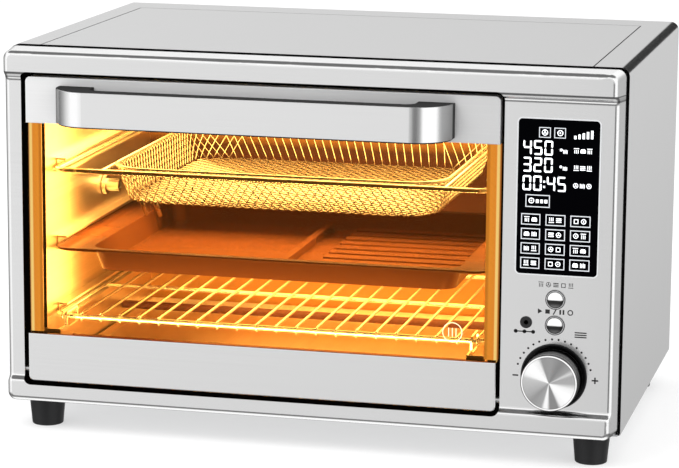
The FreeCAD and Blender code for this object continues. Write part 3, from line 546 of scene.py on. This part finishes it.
class Build:
    """Collects vertices and faces, then makes one object that rides on a body."""

    def __init__(self):
        self.verts = []
        self.faces = []

    def tube(self, points, radius, sides=6, closed=False):
        """A round wire along a list of points."""
        count = len(points)
        base = len(self.verts)
        previous = None
        for i, p in enumerate(points):
            before = points[i - 1] if i or closed else p
            after = points[(i + 1) % count] if i + 1 < count or closed else p
            along = (after - before).normalized()
            if previous is None:
                helper = Vector((0, 0, 1)) if abs(along.z) < 0.9 else Vector((1, 0, 0))
                side = along.cross(helper).normalized()
            else:
                side = (previous - along * previous.dot(along)).normalized()
            previous = side
            up = along.cross(side)
            for k in range(sides):
                turn = 2 * math.pi * k / sides
                self.verts.append(p + (side * math.cos(turn) + up * math.sin(turn)) * radius)
        rings = count if closed else count - 1
        for i in range(rings):
            a, b = base + i * sides, base + ((i + 1) % count) * sides
            for k in range(sides):
                n = (k + 1) % sides
                self.faces.append((a + k, a + n, b + n, b + k))
        if not closed:
            self.faces.append(tuple(base + k for k in reversed(range(sides))))
            self.faces.append(tuple(base + (count - 1) * sides + k for k in range(sides)))

    def prism(self, outline, place, depth):
        """A flat shape given as 2-D points, with place(u, v, d) giving 3-D points at two depths."""
        base = len(self.verts)
        count = len(outline)
        for d in (0.0, depth):
            self.verts += [place(u, v, d) for u, v in outline]
        self.faces.append(tuple(base + k for k in range(count)))
        self.faces.append(tuple(base + count + k for k in reversed(range(count))))
        for k in range(count):
            n = (k + 1) % count
            self.faces.append((base + k, base + count + k, base + count + n, base + n))

    def finish(self, name, material, body, smooth=True):
        mesh = bpy.data.meshes.new(name)
        mesh.from_pydata([tuple(v) for v in self.verts], [], self.faces)
        mesh.validate()
        mesh.update()
        if smooth:
            mesh.polygons.foreach_set("use_smooth", [True] * len(mesh.polygons))
        mesh.materials.append(material)
        obj = bpy.data.objects.new(name, mesh)
        bpy.context.scene.collection.objects.link(obj)
        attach(obj, body)
        return obj


# ---------------------------------------------------------------- basket

BASKET_RIM_LAP = 5 * MM
BASKET_RIM_DROP = 0.6 * MM
BASKET_RIM_R = 1.3 * MM
BASKET_CORNER = 30 * MM
BASKET_FLOOR_CORNER = BASKET_CORNER - 4 * MM
BASKET_DRAFT = 9 * MM
BASKET_DEPTH = 28.4 * MM
BASKET_WIRE_R = 0.43 * MM
BASKET_FLOOR_WIRE_R = 0.55 * MM
BASKET_LEG_R = 1.9 * MM
DIAMOND_W = 7.2 * MM
# how many diamonds a wall wire leans across on its way up
WALL_LEAN = 3.0
BACK_LEAN = 1.6
RACK_WRAPS = 22
RACK_WRAP_INSET = 8 * MM
RACK_WRAP_R = 2.5 * MM
RACK_WRAP_WIRE_R = 0.9 * MM


def rounded_loop(low, high, corner, z, count):
    """Points evenly spaced round a rounded rectangle, from its front left corner along the front."""
    x0, y0, x1, y1 = low.x, low.y, high.x, high.y
    centres = ((x0, y0, 1, 1, 180), (x1, y0, -1, 1, 270), (x1, y1, -1, -1, 0), (x0, y1, 1, -1, 90))
    runs = (x1 - x0 - 2 * corner, y1 - y0 - 2 * corner) * 2
    arc = math.pi * corner / 2
    total = sum(runs) + 4 * arc
    points = []
    for i in range(count):
        s = total * i / count
        for (cx, cy, sx, sy, start), run in zip(centres, runs):
            hub = Vector((cx + sx * corner, cy + sy * corner, z))
            turn = math.radians(start) + min(s / corner, math.pi / 2)
            spoke = Vector((math.cos(turn), math.sin(turn), 0)) * corner
            if s < arc:
                points.append(hub + spoke)
                break
            s -= arc
            if s < run:
                points.append(hub + spoke + Vector((-math.sin(turn), math.cos(turn), 0)) * s)
                break
            s -= run
    return points


def on_loop(points, place):
    """The point a fractional number of steps round a loop."""
    whole = math.floor(place)
    return points[whole % len(points)].lerp(points[(whole + 1) % len(points)], place - whole)


def basket_mesh(looks):
    """Woven wire tub: two families of slanted wires up the walls, crossed wires over the floor."""
    lap = Vector((BASKET_RIM_LAP, BASKET_RIM_LAP, 0))
    low, high = BASKET[0] + lap, BASKET[1] - lap
    draft = Vector((BASKET_DRAFT, BASKET_DRAFT, 0))
    rim_z = high.z - BASKET_RIM_DROP
    floor_z = high.z - BASKET_DEPTH
    per_diamond = 6
    steps = 6
    around = round((2 * (high.x - low.x + high.y - low.y) - (8 - 2 * math.pi) * BASKET_CORNER) / DIAMOND_W)
    total = around * per_diamond
    top = rounded_loop(low, high, BASKET_CORNER, rim_z, total)
    bottom = rounded_loop(low + draft, high - draft, BASKET_FLOOR_CORNER, floor_z, total)
    work = Build()
    for i in range(0, total, per_diamond):
        at_back = bottom[i].y > high.y - 15 * MM and low.x + 40 * MM < bottom[i].x < high.x - 40 * MM
        leans = (BACK_LEAN,) if at_back else (WALL_LEAN, -WALL_LEAN)
        for lean in leans:
            points = []
            for k in range(steps + 1):
                place = i + lean * per_diamond * k / steps
                points.append(on_loop(bottom, place).lerp(on_loop(top, place), k / steps))
            work.tube(points, BASKET_WIRE_R, sides=5)
    work.tube(rounded_loop(low, high, BASKET_CORNER, rim_z, 160), BASKET_RIM_R, sides=8, closed=True)
    floor_wires(work, low + draft, high - draft, floor_z)
    for leg_x in (21 * MM, 32 * MM):
        start = Vector((low.x + leg_x, low.y + 22 * MM, floor_z))
        work.tube([start, start + Vector((0, 14.5 * MM, -14.5 * MM))], BASKET_LEG_R, sides=6)
    obj = work.finish("basket_wire_mesh", looks["mesh"], "basket")
    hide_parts("mesh_basket")


def floor_wires(work, low, high, z):
    """Two families of straight wires over a rounded rectangle."""
    slope = 0.62
    depth = high.y - low.y
    samples = 100
    r = BASKET_CORNER

    def inside(x, y):
        dx = max(low.x + r - x, x - high.x + r, 0.0)
        dy = max(low.y + r - y, y - high.y + r, 0.0)
        return low.x <= x <= high.x and dx * dx + dy * dy <= r * r

    for lean in (1, -1):
        first = low.x - depth * slope if lean > 0 else low.x
        count = int((high.x - low.x + depth * slope) / DIAMOND_W)
        for i in range(count):
            x = first + i * DIAMOND_W
            spots = [Vector((x + lean * slope * depth * k / samples, low.y + depth * k / samples, z))
                     for k in range(samples + 1)]
            kept = [spot for spot in spots if inside(spot.x, spot.y)]
            if len(kept) > 2:
                work.tube([kept[0], kept[-1]], BASKET_FLOOR_WIRE_R, sides=4)


def rack_wraps(looks):
    """The cross wires' ends, wrapped round the rack's front wire."""
    work = Build()
    first, last = RACK[0].x + RACK_WRAP_INSET, RACK[1].x - RACK_WRAP_INSET
    for i in range(RACK_WRAPS):
        x = first + (last - first) * i / (RACK_WRAPS - 1)
        centre = Vector((x, RACK[0].y + 2 * MM, RACK[1].z - 3.8 * MM))
        ring = [centre + Vector((0, RACK_WRAP_R * math.cos(a), RACK_WRAP_R * math.sin(a)))
                for a in (math.radians(20 * k) for k in range(2, 14))]
        work.tube(ring, RACK_WRAP_WIRE_R, sides=6)
    obj = work.finish("rack_wire_wraps", looks["wire"], "rack")


# ---------------------------------------------------------------- printed and lit marks, with painted glow and painted shadow strips

SEGMENT_GAP = 0.3
SEGMENTS = {"0": "abcdef", "2": "abged", "3": "abgcd", "4": "fgbc", "5": "afgcd"}


class Marks:
    """Flat marks on the front of something; u runs right and v down, in millimetres."""

    LIFT = 0.06 * MM

    def __init__(self, corner_x, corner_z, y):
        self.work = Build()
        self.origin = (corner_x, corner_z, y)

    def place(self, u, v, d):
        x, z, y = self.origin
        return Vector((x + u * MM, y - self.LIFT + d, z - v * MM))

    def shape(self, outline):
        self.work.prism(outline, self.place, self.LIFT * 0.8)

    def bar(self, u0, v0, u1, v1):
        self.shape([(u0, v0), (u1, v0), (u1, v1), (u0, v1)])

    def disc(self, u, v, r, sides=14):
        turns = [2 * math.pi * k / sides for k in range(sides)]
        self.shape([(u + r * math.cos(t), v + r * math.sin(t)) for t in turns])

    def stroke(self, points, width):
        """A line of even width through points, as one quad for each run."""
        for (u0, v0), (u1, v1) in zip(points, points[1:]):
            run = math.hypot(u1 - u0, v1 - v0)
            nu, nv = -(v1 - v0) / run * width / 2, (u1 - u0) / run * width / 2
            self.shape([(u0 + nu, v0 + nv), (u1 + nu, v1 + nv), (u1 - nu, v1 - nv), (u0 - nu, v0 - nv)])

    def ring(self, u, v, r, width, sides=16):
        turns = [2 * math.pi * k / sides for k in range(sides + 1)]
        self.stroke([(u + r * math.cos(t), v + r * math.sin(t)) for t in turns], width)

    def frame(self, u0, v0, u1, v1, width):
        self.bar(u0, v0, u1, v0 + width)
        self.bar(u0, v1 - width, u1, v1)
        self.bar(u0, v0 + width, u0 + width, v1 - width)
        self.bar(u1 - width, v0 + width, u1, v1 - width)

    def digit(self, value, u, v, width, height, bold):
        """One seven-segment digit; each segment is a six-sided bar."""
        half, tip, gap = height / 2, bold / 2, SEGMENT_GAP
        right = u + width - bold
        level = {"a": v, "g": v + half - tip, "d": v + height - bold}
        side = {"f": (u, v), "b": (right, v), "e": (u, v + half), "c": (right, v + half)}
        for name in SEGMENTS[value]:
            if name in level:
                top, first, last = level[name], u + gap, u + width - gap
                self.shape([(first, top + tip), (first + tip, top), (last - tip, top), (last, top + tip),
                            (last - tip, top + bold), (first + tip, top + bold)])
            else:
                left, top = side[name]
                first, last = top + gap, top + half - gap
                self.shape([(left + tip, first), (left + bold, first + tip), (left + bold, last - tip),
                            (left + tip, last), (left, last - tip), (left, first + tip)])

    def finish(self, name, material, body, slot):
        obj = self.work.finish(name, material, body, smooth=False)


def pictogram(marks, kind, u, v, size):
    """A small plain sign in a square of the given size, whose top left corner is (u, v)."""
    thin = size * 0.13
    if kind == "top_heat":
        marks.bar(u, v, u + size, v + thin)
        for i in range(3):
            left = u + size * (0.12 + 0.32 * i)
            marks.bar(left, v + size * 0.3, left + thin, v + size)
    elif kind == "bottom_heat":
        marks.bar(u, v + size - thin, u + size, v + size)
        for i in range(3):
            left = u + size * (0.12 + 0.32 * i)
            marks.bar(left, v, left + thin, v + size * 0.7)
    elif kind == "fan":
        marks.ring(u + size / 2, v + size / 2, size * 0.44, thin * 0.8)
        for i in range(3):
            turn = 2 * math.pi * i / 3 + 0.5
            marks.stroke([(u + size / 2, v + size / 2), (u + size * (0.5 + 0.34 * math.cos(turn)),
                                                         v + size * (0.5 + 0.34 * math.sin(turn)))], thin)
    elif kind == "slice":
        marks.frame(u + size * 0.08, v + size * 0.1, u + size * 0.92, v + size * 0.95, thin)
    elif kind == "loaf":
        marks.bar(u, v + size * 0.35, u + size, v + size * 0.9)
        marks.bar(u + size * 0.12, v + size * 0.15, u + size * 0.88, v + size * 0.35)
    elif kind == "layers":
        for i in range(3):
            marks.bar(u, v + size * (0.1 + 0.32 * i), u + size, v + size * (0.1 + 0.32 * i) + thin * 1.3)
    elif kind == "disc":
        marks.ring(u + size / 2, v + size / 2, size * 0.42, thin)
        marks.disc(u + size / 2, v + size / 2, size * 0.13)
    elif kind == "sticks":
        for i in range(4):
            left = u + size * (0.05 + 0.26 * i)
            marks.bar(left, v + size * (0.1 + 0.08 * (i % 2)), left + thin, v + size * 0.95)


# the display's layout, in millimetres from its top left corner
DIGIT_WIDTH = 6.3
DIGIT_BOLD = 1.3
KEY_ROWS = (69.4, 80.4, 91.4, 102.4)
KEY_COLUMNS = ((2.4, 16.8), (20.7, 35.5), (39.2, 54.2))
KEY_HEIGHT = 8.5
KEY_SIGNS = ("top_heat", "bottom_heat", "slice", "loaf", "layers", "disc", "sticks", "fan")
MODE_ROWS = (
    (19.0, ("top_heat", "loaf", "top_heat")),
    (31.8, ("bottom_heat", "layers", "bottom_heat")),
    (45.0, ("fan", "sticks", "fan")),
)


def display_marks(looks):
    """Digits, signal bars and touch keys on the display."""
    corner = (DISPLAY[0].x + 0.8 * MM, DISPLAY[1].z - 1.6 * MM, DISPLAY[0].y)
    lit = Marks(*corner)
    for row, text in ((14.3, "450"), (27.1, "320")):
        for i, value in enumerate(text):
            lit.digit(value, 3.0 + 7.9 * i, row, DIGIT_WIDTH, 11.0, DIGIT_BOLD)
    for u, value in ((3.0, "0"), (10.9, "0"), (21.0, "4"), (28.9, "5")):
        lit.digit(value, u, 40.8, DIGIT_WIDTH, 11.2, DIGIT_BOLD)
    for v in (44.3, 48.2):
        lit.bar(18.4, v, 19.8, v + 1.5)
    for i in range(5):
        left = 40.6 + 3.1 * i
        lit.bar(left, 9.8 - 1.07 * i, left + 1.7, 12.3 - 0.15 * i)
    for v in (20.6, 33.2):
        lit.ring(31.2, v + 0.2, 0.8, 0.5, sides=8)
        pictogram(lit, "sticks", 32.6, v - 0.4, 3.4)
    for v, kinds in MODE_ROWS:
        for i, kind in enumerate(kinds):
            pictogram(lit, kind, 40.6 + 4.9 * i, v, 3.9)
    pictogram(lit, "fan", 16.6, 6.0, 4.6)
    pictogram(lit, "disc", 28.0, 6.0, 4.6)
    pictogram(lit, "disc", 7.6, 57.4, 4.4)
    for i in range(3):
        lit.bar(13.2 + 3.2 * i, 58.6, 15.3 + 3.2 * i, 61.2)
    lines = Marks(*corner)
    lines.frame(14.5, 4.4, 23.2, 12.2, 0.6)
    lines.frame(25.8, 4.4, 34.4, 12.2, 0.6)
    lines.frame(5.4, 55.0, 23.6, 64.5, 0.7)
    for row, v in enumerate(KEY_ROWS):
        for column, (u0, u1) in enumerate(KEY_COLUMNS):
            lines.frame(u0, v, u1, v + KEY_HEIGHT, 0.7)
            first = len(KEY_COLUMNS) * row + column
            for i in range(2):
                kind = KEY_SIGNS[(first + 3 * i) % len(KEY_SIGNS)]
                pictogram(lit, kind, u0 + 2.3 + 5.6 * i, v + 2.2, 4.0)
    lit.finish("display_lit_marks", looks["lit"], "oven", "display_rim")
    lines.finish("display_key_outlines", looks["key_line"], "oven", "display_rim")


def panel_marks(looks):
    """Dark marks over the buttons, beside the socket and round the dial."""
    dial = middle(KNOB)
    ink = Marks(dial.x, dial.z, PANEL_Y)
    for degrees in range(14, 171, 10):
        turn = math.radians(degrees - 0.25)
        ink.disc(28.4 * math.cos(turn), -28.4 * math.sin(turn), 0.85, sides=10)
    ink.bar(-31.2, 0.2, -26.8, 1.3)
    ink.bar(28.6, 0.7, 33.6, 1.8)
    ink.bar(30.55, -1.25, 31.65, 3.75)
    for i in range(3):
        ink.bar(15.0, -35.0 + 1.7 * i, 24.0, -34.1 + 1.7 * i)
    for i, kind in enumerate(("top_heat", "fan", "layers", "slice", "bottom_heat")):
        pictogram(ink, kind, -13.0 + 5.6 * i, -71.8, 3.9)
    ink.shape([(-13.0, -51.4), (-9.6, -49.4), (-13.0, -47.4)])
    ink.bar(-7.4, -51.0, -4.0, -47.8)
    ink.stroke([(-1.4, -47.2), (0.8, -51.6)], 0.9)
    ink.bar(3.2, -51.2, 4.5, -47.6)
    ink.bar(5.6, -51.2, 6.9, -47.6)
    ink.ring(11.4, -49.4, 1.8, 0.8)
    ink.stroke([(-30.6, -33.2), (-15.0, -33.2)], 0.9)
    for place in (-29.4, -22.8, -16.2):
        ink.disc(place, -33.2, 1.5)
    ink.finish("panel_print", looks["ink"], "oven", "black_plastic")
    outlines = Marks(0, 0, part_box("button_rings")[0].y)
    for name in ("function_button", "start_button"):
        centre = middle(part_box(name)) / MM
        outlines.ring(centre.x, -centre.z, 7.15, 0.6, sides=28)
        outlines.ring(centre.x, -centre.z, 6.2, 0.35, sides=28)
    outlines.finish("button_outlines", looks["ink"], "oven", "black_plastic")


def glass_mark(looks):
    """A plain printed ring with three bars, near the bottom right of the door's glass, with a painted glow.
    """
    mark = Marks(GLASS[1].x - 33 * MM, GLASS[0].z + 33 * MM, GLASS[0].y)
    mark.ring(0, 0, 7.4, 0.6, sides=28)
    for i in range(3):
        mark.bar(-3.1 + 2.8 * i, -3.4, -2.5 + 2.8 * i, 3.4)
    mark.finish("glass_mark", looks["glass_print_painted_glow"], "door", "display_rim")


SEAM_INSET = 0.35 * MM
SEAM_CORNER = 6.5 * MM
SEAM_THICKNESS = 0.8 * MM


def seam_shadow_strip(looks):
    """A black strip of painted shade in the seam behind the bezel."""
    seam = Build()
    low, high = BEZEL
    left, right, top = COVER[0].x + SEAM_INSET, COVER[1].x - SEAM_INSET, COVER[1].z - SEAM_INSET
    loop = []
    corner = SEAM_CORNER
    for cx, start in ((left + corner, 180), (right - corner, 90)):
        for k in range(7):
            turn = math.radians(start - 15 * k)
            loop.append((cx + corner * math.cos(turn), top - corner + corner * math.sin(turn)))
    loop = [(left, low.z + 1 * MM)] + loop + [(right, low.z + 1 * MM)]
    depth = COVER[0].y - high.y - 0.2 * MM
    for (x0, z0), (x1, z1) in zip(loop, loop[1:]):
        run = math.hypot(x1 - x0, z1 - z0)
        nx, nz = (z1 - z0) / run * SEAM_THICKNESS, -(x1 - x0) / run * SEAM_THICKNESS

        def place(u, v, d, x0=x0, z0=z0, x1=x1, z1=z1, nx=nx, nz=nz):
            return Vector((x0 + (x1 - x0) * u + nx * v, high.y + 0.1 * MM + d, z0 + (z1 - z0) * u + nz * v))

        seam.prism([(0, 0), (1, 0), (1, 1), (0, 1)], place, depth)
    obj = seam.finish("seam_shadow_strip", looks["shadow"], "oven", smooth=False)


LINE_LEFT = -215.9 * MM
LINE_RIGHT = 213.4 * MM
LINE_FRONT = 0.5 * MM
LINE_BACK = 253.9 * MM
LINE_WIDTH = 0.9 * MM
LINE_DEPTH = 0.32 * MM


def pressed_line_shadow(looks):
    """The shadow in the line that is pressed into the cover's top."""
    groove = Build()
    floor_z = COVER[1].z - LINE_DEPTH
    front, back = COVER[0].y + LINE_FRONT, COVER[0].y + LINE_BACK

    def strip(ax, ay, bx, by):
        groove.prism([(ax, ay), (bx, ay), (bx, by), (ax, by)],
                     lambda u, v, d: Vector((u, v, floor_z - d)), 0.12 * MM)

    strip(LINE_LEFT, front, LINE_LEFT + LINE_WIDTH, back - 2 * MM)
    strip(LINE_RIGHT - LINE_WIDTH, front, LINE_RIGHT, back - 2 * MM)
    strip(LINE_LEFT + 2 * MM, back - LINE_WIDTH, LINE_RIGHT - 2 * MM, back)
    obj = groove.finish("pressed_line_shadow", looks["shadow"], "oven", smooth=False)


# ---------------------------------------------------------------- stage, lights and camera

# (degrees from the front towards the right, tone), for the room and for the dark stripe low in front
AZIMUTH_TONES = (
    (-180, 0.60), (-158, 0.72), (-145, 0.25), (-115, 0.20), (-85, 0.50), (-55, 1.10), (-32, 1.10),
    (-20, 0.82), (-8, 0.80), (22, 0.85), (32, 1.15), (74, 1.15), (88, 0.55), (135, 0.50), (163, 0.62),
    (180, 0.60),
)
STRIPE_TONES = ((-180, 1.0), (-8, 1.0), (0, 0.24), (10, 0.17), (22, 0.45), (30, 1.0), (180, 1.0))
# (height of the direction from -1 to 1, tone)
HEIGHT_TONES = (
    (-1.0, 1.15), (-0.85, 1.10), (-0.72, 0.25), (-0.42, 0.18), (-0.30, 0.95), (-0.10, 1.0), (0.12, 1.0),
    (0.45, 1.25), (0.66, 1.1), (0.80, 0.18), (1.0, 0.15),
)
# by height from 0 to 1: where the room is white, the dark card behind the oven, and where the stripe shows
STEEP_MASK = ((0.0, 1.0), (0.2, 1.0), (0.33, 0.0), (0.67, 0.0), (0.8, 1.0), (1.0, 1.0))
CARD_TONES = ((0.0, 1.0), (0.50, 1.0), (0.515, 0.05), (0.655, 0.05), (0.67, 1.0))
LOW_MASK = ((0.0, 0.0), (0.33, 0.0), (0.35, 1.0), (0.455, 1.0), (0.475, 0.0))
# by turn from 0 to 1: where the dark card shows
BEHIND_MASK = ((0.0, 1.0), (0.009, 1.0), (0.014, 0.0), (0.935, 0.0), (0.945, 1.0))


def studio_world():
    """White surroundings for the camera; panels and dark cards, by direction, for reflections."""
    world = bpy.data.worlds.new("studio")
    bpy.context.scene.world = world
    world.use_nodes = True
    nodes, links = world.node_tree.nodes, world.node_tree.links
    nodes.clear()
    coords = nodes.new("ShaderNodeTexCoord")
    split = nodes.new("ShaderNodeSeparateXYZ")
    links.new(coords.outputs["Generated"], split.inputs["Vector"])
    x, y, z = (split.outputs[name] for name in "XYZ")
    turn = part_of_turn(nodes, links, x, math_node(nodes, links, "MULTIPLY", y, -1.0))
    height = math_node(nodes, links, "DIVIDE", math_node(nodes, links, "ADD", z, 1.0), 2.0)
    around = grey_ramp(nodes, links, turn, by_degrees(AZIMUTH_TONES))
    stripe = grey_ramp(nodes, links, turn, by_degrees(STRIPE_TONES))
    level = grey_ramp(nodes, links, height, [((up + 1) / 2, tone) for up, tone in HEIGHT_TONES])
    steep = grey_ramp(nodes, links, height, STEEP_MASK)
    card = grey_ramp(nodes, links, height, CARD_TONES)
    low = grey_ramp(nodes, links, height, LOW_MASK)
    behind = grey_ramp(nodes, links, turn, BEHIND_MASK)
    colour = mix_colours(nodes, links, "MIX", steep, around, (1, 1, 1, 1))
    for factor, other in ((1.0, level), (behind, card), (low, stripe)):
        colour = mix_colours(nodes, links, "MULTIPLY", factor, colour, other)
    reflect = nodes.new("ShaderNodeBackground")
    links.new(colour, reflect.inputs["Color"])
    plain = nodes.new("ShaderNodeBackground")
    set_inputs(plain, Color=(1, 1, 1, 1), Strength=1.1)
    path = nodes.new("ShaderNodeLightPath")
    mix = nodes.new("ShaderNodeMixShader")
    links.new(path.outputs["Is Glossy Ray"], mix.inputs["Fac"])
    links.new(plain.outputs["Background"], mix.inputs[1])
    links.new(reflect.outputs["Background"], mix.inputs[2])
    out = nodes.new("ShaderNodeOutputWorld")
    links.new(mix.outputs["Shader"], out.inputs["Surface"])


FLOOR_REACH = 12.0


def floor():
    """A large pale floor, kept out of mirror reflections."""
    mesh = bpy.data.meshes.new("floor")
    corners = [(x * FLOOR_REACH, y * FLOOR_REACH, 0) for x, y in ((-1, -1), (1, -1), (1, 1), (-1, 1))]
    mesh.from_pydata(corners, [], [(0, 1, 2, 3)])
    mat, _, _, shader = new_material("floor_white")
    set_inputs(shader, Base_Color=(0.5, 0.5, 0.5, 1), Emission_Color=(1, 1, 1, 1), Emission_Strength=0.52,
               Roughness=0.9, Specular_IOR_Level=0.0)
    mesh.materials.append(mat)
    obj = bpy.data.objects.new("floor", mesh)
    bpy.context.scene.collection.objects.link(obj)
    obj.visible_glossy = False


def area_light(name, place, target, size, power, colour, glossy=True):
    """A rectangular lamp at place that points at target."""
    data = bpy.data.lights.new(name, "AREA")
    data.shape = "RECTANGLE"
    data.size, data.size_y = size
    data.energy = power
    data.color = colour
    obj = bpy.data.objects.new(name, data)
    obj.location = place
    obj.rotation_euler = (Vector(target) - Vector(place)).to_track_quat("-Z", "Y").to_euler()
    obj.visible_camera = False
    obj.visible_glossy = glossy
    bpy.context.scene.collection.objects.link(obj)
    return obj


HEAT = (1.0, 0.47, 0.08)
HOT = (1.0, 0.60, 0.15)
WALL_HEAT = (1.0, 0.46, 0.08)


def lights():
    """Two soft lamps in the room, and the heaters' glow inside the cavity."""
    aim = (0, 0, 0.1)
    area_light("key", (-1.2, -1.6, 2.2), aim, (1.6, 1.6), 30, (1, 1, 1), glossy=False)
    area_light("fill", (1.8, -0.6, 1.6), aim, (1.4, 1.4), 10, (1, 1, 1), glossy=False)
    ceiling, tray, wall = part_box("cavity_ceiling"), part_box("baking_tray"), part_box("cavity_left_wall")
    x, y, _ = middle(ceiling)
    area_light("upper_heat", (x, y, ceiling[0].z - 20 * MM), (x, y, 0), (0.32, 0.22), 2.6, HOT)
    low_x = x + 0.03
    area_light("lower_heat", (low_x, y, tray[0].z - 4 * MM), (low_x, y, 0), (0.26, 0.20), 1.2, HEAT)
    wall_x, wall_y, wall_z = wall[1].x, wall[0].y + 2 * MM + 50 * MM, 0.165
    area_light("left_heat", (wall_x + 22 * MM, wall_y, wall_z), (wall_x, wall_y, wall_z),
               (0.09, 0.17), 0.42, WALL_HEAT)
    front_y, front_z = GLASS[1].y + 5 * MM, GLASS[0].z + 14 * MM
    area_light("front_low", (x, front_y, front_z), (x, y, 0.20), (0.32, 0.006), 0.4, HOT)


CAMERA_AZIMUTH = math.radians(13.65)
CAMERA_ELEVATION = math.radians(11.21)
CAMERA_ROLL = math.radians(0.44)
CAMERA_PLACE = Vector((0.5225, 0, 0.5871))
CAMERA_TO_BEZEL = 2.0407
CAMERA_LENS = 151.0


def camera():
    """The camera, in front of the bezel and a little above and to its right."""
    data = bpy.data.cameras.new("camera")
    data.lens = CAMERA_LENS
    data.sensor_width = 36.0
    data.clip_end = 50.0
    obj = bpy.data.objects.new("camera", data)
    place = CAMERA_PLACE.copy()
    place.y = BEZEL[0].y - CAMERA_TO_BEZEL
    turn = (Matrix.Rotation(CAMERA_AZIMUTH, 4, "Z") @ Matrix.Rotation(math.pi / 2 - CAMERA_ELEVATION, 4, "X")
            @ Matrix.Rotation(CAMERA_ROLL, 4, "Z"))
    obj.matrix_world = Matrix.Translation(place) @ turn
    bpy.context.scene.collection.objects.link(obj)
    bpy.context.scene.camera = obj


looks = make_materials()
dress_nodes(looks)
basket_mesh(looks)
rack_wraps(looks)
display_marks(looks)
panel_marks(looks)
glass_mark(looks)
seam_shadow_strip(looks)
pressed_line_shadow(looks)
studio_world()
floor()
lights()
camera()
bpy.context.scene.view_settings.view_transform = "Standard"
